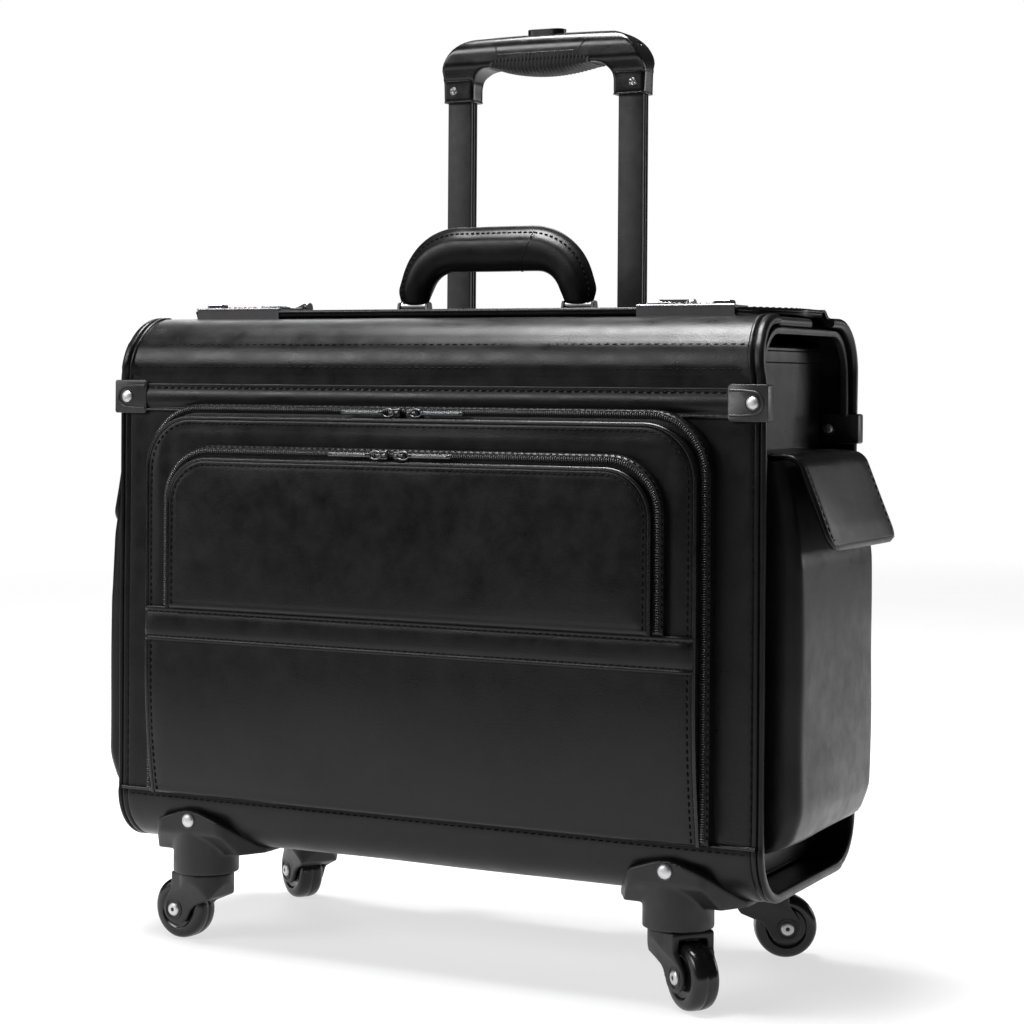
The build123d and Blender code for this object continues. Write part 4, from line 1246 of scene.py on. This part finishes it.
def trolley_tubes():
    for node, body, size, z_span, groove in (
            ("trolley_outer_tubes", "case", (24.4, 16.0), (104.0, 388.0), 0.5),
            ("trolley_middle_tubes", "trolley_stage_1", (21.4, 13.0), (108.0, 390.0), 0.4),
            ("trolley_inner_tubes", "trolley_stage_2", (19.0, 10.6), (294.5, 597.0), 0.6)):
        parts = []
        outline = tube_outline(*size, groove)
        wall = outline * np.array([(size[0] - 2.4) / size[0], (size[1] - 2.4) / size[1]])
        for side in (-1, 1):
            place = np.array([side * TUBE_X, TUBE_Y])
            rings = []
            for z in np.linspace(*z_span, 12):
                rings.append(np.column_stack([outline + place, np.full(len(outline), z)]))
            for z in (z_span[1] - 0.01, z_span[0] + 0.01):
                rings.append(np.column_stack([wall + place, np.full(len(wall), z)]))
            rings = np.array(rings)
            parts.append((rings.reshape(-1, 3),
                          grid_faces(*rings.shape[:2], wrap_rows=True, wrap_cols=True)))
        piece = build(f"{node}_shape", *merge(parts), TUBE_FACE, body, "tube_metal", 25,
                      (TUBE_SIDE_PAINTED_SHADE,))
        # Faces not looking along Y get the darker copy: painted shade chosen by which way each face
        # points.
        for polygon in piece.data.polygons:
            if abs(polygon.normal.y) < 0.9:
                polygon.material_index = 1
        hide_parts(node)


def trolley_parts():
    bevelled("trolley_housing", 0.9, HOUSING, "case")
    bevelled("trolley_foot_bracket", 0.9, HOUSING, "case")
    bevelled("trolley_middle_collars", 0.6, HOUSING, "trolley_stage_1")
    arched(moulded("trolley_grip", 0.9, 14, GRIP, "trolley_stage_2"))
    bevelled("release_button", 0.7, GRIP, "release_button")
    grip_details()
    ribbed_pad()
    grip_screws()


def arched(piece):
    """Lifts the middle of the grip's top into a shallow arch."""
    mesh = piece.data
    points = np.array([v.co for v in mesh.vertices]) / MM
    high = np.clip((points[:, 2] - 610) / 16, 0, 1)
    points[:, 2] += 1.8 * high * (1 - (points[:, 0] / 80) ** 2)
    mesh.vertices.foreach_set("co", (points * MM).ravel())
    mesh.update()


def grip_details():
    """Moulded line round the inset panel and the parting necks of the sleeves."""
    parts = []
    for y in (TUBE_Y - 14.05, TUBE_Y + 14.05):
        line = rounded([(-34, 619.5), (-33, 613.6), (30, 613.6), (36.5, 621.0)], [0, 2.5, 3.5, 0],
                       False, 0.8)
        parts.append(round_tube([(x, y, z) for x, z in spaced(line, 1.6)], 0.4, 6, up=(0, 1, 0)))
    for side in (-1, 1):
        loop = rounded([(54.9, 86.4), (79.0, 86.4), (79.0, 103.6), (54.9, 103.6)], [3] * 4, True, 0.8)
        ring = [(side * x, y, 597.2) for x, y in spaced(loop, 1.6, True)]
        parts.append(round_tube(ring, 0.55, 8, True))
        loop = rounded([(54.9, 86.5), (78.7, 86.5), (78.7, 103.5), (54.9, 103.5)], [3] * 4, True, 0.8)
        ring = [(side * x, y, 582.4) for x, y in spaced(loop, 1.6, True)]
        parts.append(round_tube(ring, 0.6, 8, True))
    build("grip_mould_lines", *merge(parts), GRIP, "trolley_stage_2", "grip_plastic", 60)


def ribbed_pad():
    """Soft lens-shaped pad under the bar, ribbed across and wrapping up its sides."""
    rings = []
    xs = np.linspace(-39, 39, 241)
    for x in xs:
        lens = 1 - (x / 39.0) ** 2
        rib = 0.42 * math.sin(2 * math.pi * x / 2.9)
        depth = 0.4 + 6.2 * lens + rib * min(1, lens * 3)
        rise = 3.0 + 6.0 * lens
        half = 14.1 + 0.35 * rib - 0.2
        section = [(-half, 605.0 + rise), (-half - 0.15, 605.0), (-half + 1.2, 605 - 0.45 * depth),
                   (-half * 0.6, 605 - 0.88 * depth), (0, 605 - depth),
                   (half * 0.6, 605 - 0.88 * depth), (half - 1.2, 605 - 0.45 * depth),
                   (half + 0.15, 605.0), (half, 605 + rise)]
        rings.append([(x, TUBE_Y + a, b) for a, b in section])
    piece = build("grip_pad_ribbed", *lengthwise(rings), RUBBER, "trolley_stage_2", "grip_rubber", 70)
    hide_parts("trolley_grip_pad")


def grip_screws():
    """Round screw heads with cross slots, in the sleeves."""
    parts = []
    for side in (-1, 1):
        middle = np.array([side * 70.3, 86.5, 590.0])
        rings = []
        for radius, out in ((0.4, 0.5), (0.9, 0.75), (1.3, 1.15), (2.3, 1.1), (2.9, 0.75), (3.2, 0.2),
                            (3.3, -0.6)):
            ring = []
            for k in range(32):
                a = 2 * math.pi * k / 32
                cross = 0.75 if min(a % (math.pi / 2), math.pi / 2 - a % (math.pi / 2)) < 0.32 else 0
                depth = out - cross * (radius < 2.2)
                ring.append(middle + np.array([radius * math.cos(a), -depth, radius * math.sin(a)]))
            rings.append(ring)
        parts.append(lengthwise(rings))
    piece = build("grip_cross_screws", *merge(parts), STEEL, "trolley_stage_2", "pin_steel", 35)
    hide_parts("grip_screws")


# ---- casters ------------------------------------------------------------------------------
def lathe(profile, sides=64):
    """Rings of a (radius, along) profile turned round the local Y axis."""
    rings = []
    for k in range(sides):
        a = 2 * math.pi * k / sides
        rings.append([(r * math.cos(a), w, r * math.sin(a)) for r, w in profile])
    rings = np.array(rings)
    return rings.reshape(-1, 3), grid_faces(*rings.shape[:2], wrap_rows=True, wrap_cols=True)


def casters():
    moulded("caster_housings", 1.0, 3, HOUSING, "case")
    half = [(3.1, 8.9), (6.2, 8.9), (7.0, 8.6), (7.5, 8.1), (12.2, 8.0), (12.8, 8.2), (13.4, 8.8),
            (14.2, 9.0), (15.6, 8.9), (17.2, 8.7), (18.8, 8.0), (19.9, 6.8), (20.5, 5.0),
            (20.72, 2.6), (20.75, 0.9), (20.5, 0.5), (20.45, 0.0)]
    profile = half + [(r, -w) for r, w in reversed(half[:-1])]
    for name, (side, end, heading) in CASTERS.items():
        turn = Matrix.Rotation(math.radians(heading), 3, "Z")
        place = np.array([side * CASTER_X, end * CASTER_Y, 0.0])

        def put(points):
            return np.array([turn @ Vector(p) for p in points]) + place

        points, faces = lathe(profile)
        points = points + np.array([TRAIL, 0, WHEEL])
        piece = build(f"caster_tyre_{name}", put(points), faces, TYRE, f"caster_wheel_{name}",
                      "wheel_tyre", 35)
        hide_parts(f"caster_wheel_{name}")
        moulded(f"caster_fork_{name}", 0.8, 6, HOUSING, f"caster_fork_{name}")
        parts, rings = [], []
        for face in (-1, 1):
            head = [(0.01, 12.8), (1.0, 12.8), (1.15, 13.7), (1.5, 14.0), (2.8, 14.0), (3.6, 13.8),
                    (4.2, 13.3), (4.6, 12.6), (4.7, 12.0)]
            turned, skin = lathe([(r, face * w) for r, w in head], 32)
            parts.append((turned + np.array([TRAIL, 0, WHEEL]), skin))
            loop = [(TRAIL + 6.6 * math.cos(a), face * 12.55, WHEEL + 6.6 * math.sin(a))
                    for a in np.linspace(0, 2 * math.pi, 36, endpoint=False)]
            rings.append(round_tube(loop, 0.5, 8, True, up=(0, 1, 0)))
        points, faces = merge(parts)
        build(f"caster_bolt_{name}", put(points), faces, NICKEL, f"caster_fork_{name}", "chrome", 35)
        points, faces = merge(rings)
        build(f"caster_boss_ring_{name}", put(points), faces, HOUSING, f"caster_fork_{name}",
              "housing_plastic", 60)


# ---- floor, lights and camera -------------------------------------------------------------
# name, place, aim, width, height, power
LIGHTS = (
    ("top", (-0.3, -0.1, 2.4), (0, 0, 0.4), 1.15, 1.0, 135),
    ("upper_left", (-1.7, -2.4, 1.75), (0, 0, 0.38), 1.5, 0.8, 46),
    ("key_left", (-2.9, -1.9, 0.9), (0, 0, 0.25), 1.3, 1.4, 14),
    ("rim_right", (1.9, 2.3, 0.7), (0.2, 0, 0.15), 1.2, 0.8, 12),
    ("rim_rear", (-1.8, 2.2, 1.8), (0, 0, 0.2), 1.2, 1.4, 16),
)


def studio():
    """Pale round floor that fades out into a white surround, and five soft lights."""
    turns = np.linspace(0, 2 * math.pi, 96, endpoint=False)
    rings = [[(r * math.cos(a), r * math.sin(a), 0.0) for a in turns]
             for r in (0.05, 0.5, 1.0, 2.0, 3.4)]
    faces = grid_faces(5, 96, wrap_cols=True) + [tuple(range(96))]
    mesh = bpy.data.meshes.new("floor_disc")
    mesh.from_pydata([p for ring in rings for p in ring], [], faces)
    floor = bpy.data.objects.new("floor_disc", mesh)
    bpy.context.scene.collection.objects.link(floor)
    floor.location = (0.5, 0.7, 0.0)
    finish = Finish("pale_floor", Specular_IOR_Level=0.1, Emission_Color=(1, 1, 1, 1),
                    Emission_Strength=0.66)
    finish.colour(finish.noise(3.0, 2.0), (0.32, 0.32, 0.32), (0.36, 0.36, 0.36))
    finish.roughness(finish.noise(30.0), 0.75, 0.9)
    reach = finish.add("ShaderNodeVectorMath", {"Vector": finish.coords}, operation="LENGTH")
    solid = finish.ramp(reach.outputs["Value"], 1.0, 0.0, (1.4, 3.2))
    finish.tree.links.new(solid, finish.shader.inputs["Alpha"])
    floor.data.materials.append(finish.material)

    world = bpy.data.worlds.new("studio")
    world.use_nodes = True
    tree = world.node_tree
    seen = tree.nodes.new("ShaderNodeLightPath")
    level = tree.nodes.new("ShaderNodeMapRange")
    tree.links.new(seen.outputs["Is Camera Ray"], level.inputs["Value"])
    level.inputs["To Min"].default_value = 0.04
    level.inputs["To Max"].default_value = 1.0
    tree.nodes["Background"].inputs[0].default_value = (1, 1, 1, 1)
    tree.links.new(level.outputs[0], tree.nodes["Background"].inputs[1])
    bpy.context.scene.world = world
    bpy.context.scene.view_settings.view_transform = "Standard"

    for light in LIGHTS:
        soft_light(*light)


def soft_light(name, place, target, width, height, power):
    lamp = bpy.data.lights.new(name, "AREA")
    lamp.shape = "RECTANGLE"
    lamp.size, lamp.size_y = width, height
    lamp.energy = power
    holder = bpy.data.objects.new(name, lamp)
    holder.location = place
    aim = Vector(target) - Vector(place)
    holder.rotation_euler = aim.to_track_quat("-Z", "Y").to_euler()
    bpy.context.scene.collection.objects.link(holder)


def camera():
    yaw, roll = math.radians(26.83), math.radians(0.409)
    forward = Vector((-math.sin(yaw), math.cos(yaw), 0))
    right = Vector((math.cos(yaw), math.sin(yaw), 0))
    up = Vector((0, 0, 1))
    across = math.cos(roll) * right + math.sin(roll) * up
    above = -math.sin(roll) * right + math.cos(roll) * up
    data = bpy.data.cameras.new("camera")
    data.sensor_width = 36.0
    data.lens = 83.73
    data.shift_y = -0.1268
    data.clip_end = 50
    holder = bpy.data.objects.new("camera", data)
    basis = Matrix((across, above, -forward)).transposed().to_4x4()
    holder.matrix_world = Matrix.Translation((0.7419, -1.4233, 0.3811)) @ basis
    bpy.context.scene.collection.objects.link(holder)
    bpy.context.scene.camera = holder


# ---- the whole object ---------------------------------------------------------------------
dress_cad()
camera()
studio()
body_wrap()
base_trim()
clip_band()
front_lid()
side_panels()
mouth_frames()
lid_rests()
top_lid()
rear_hinge()
corner_clips()
front_pockets()
zip_runs()
zip_sliders()
body_rivets()
band()
side_pockets()
side_flaps()
carry_handle()
locks()
trolley_tubes()
trolley_parts()
casters()
finish_seams({"front_lid": "front_lid", "top_lid": "top_lid", "carry_handle": "carry_handle",
              "side_flap_left": "side_flap_left", "side_flap_right": "side_flap_right"})
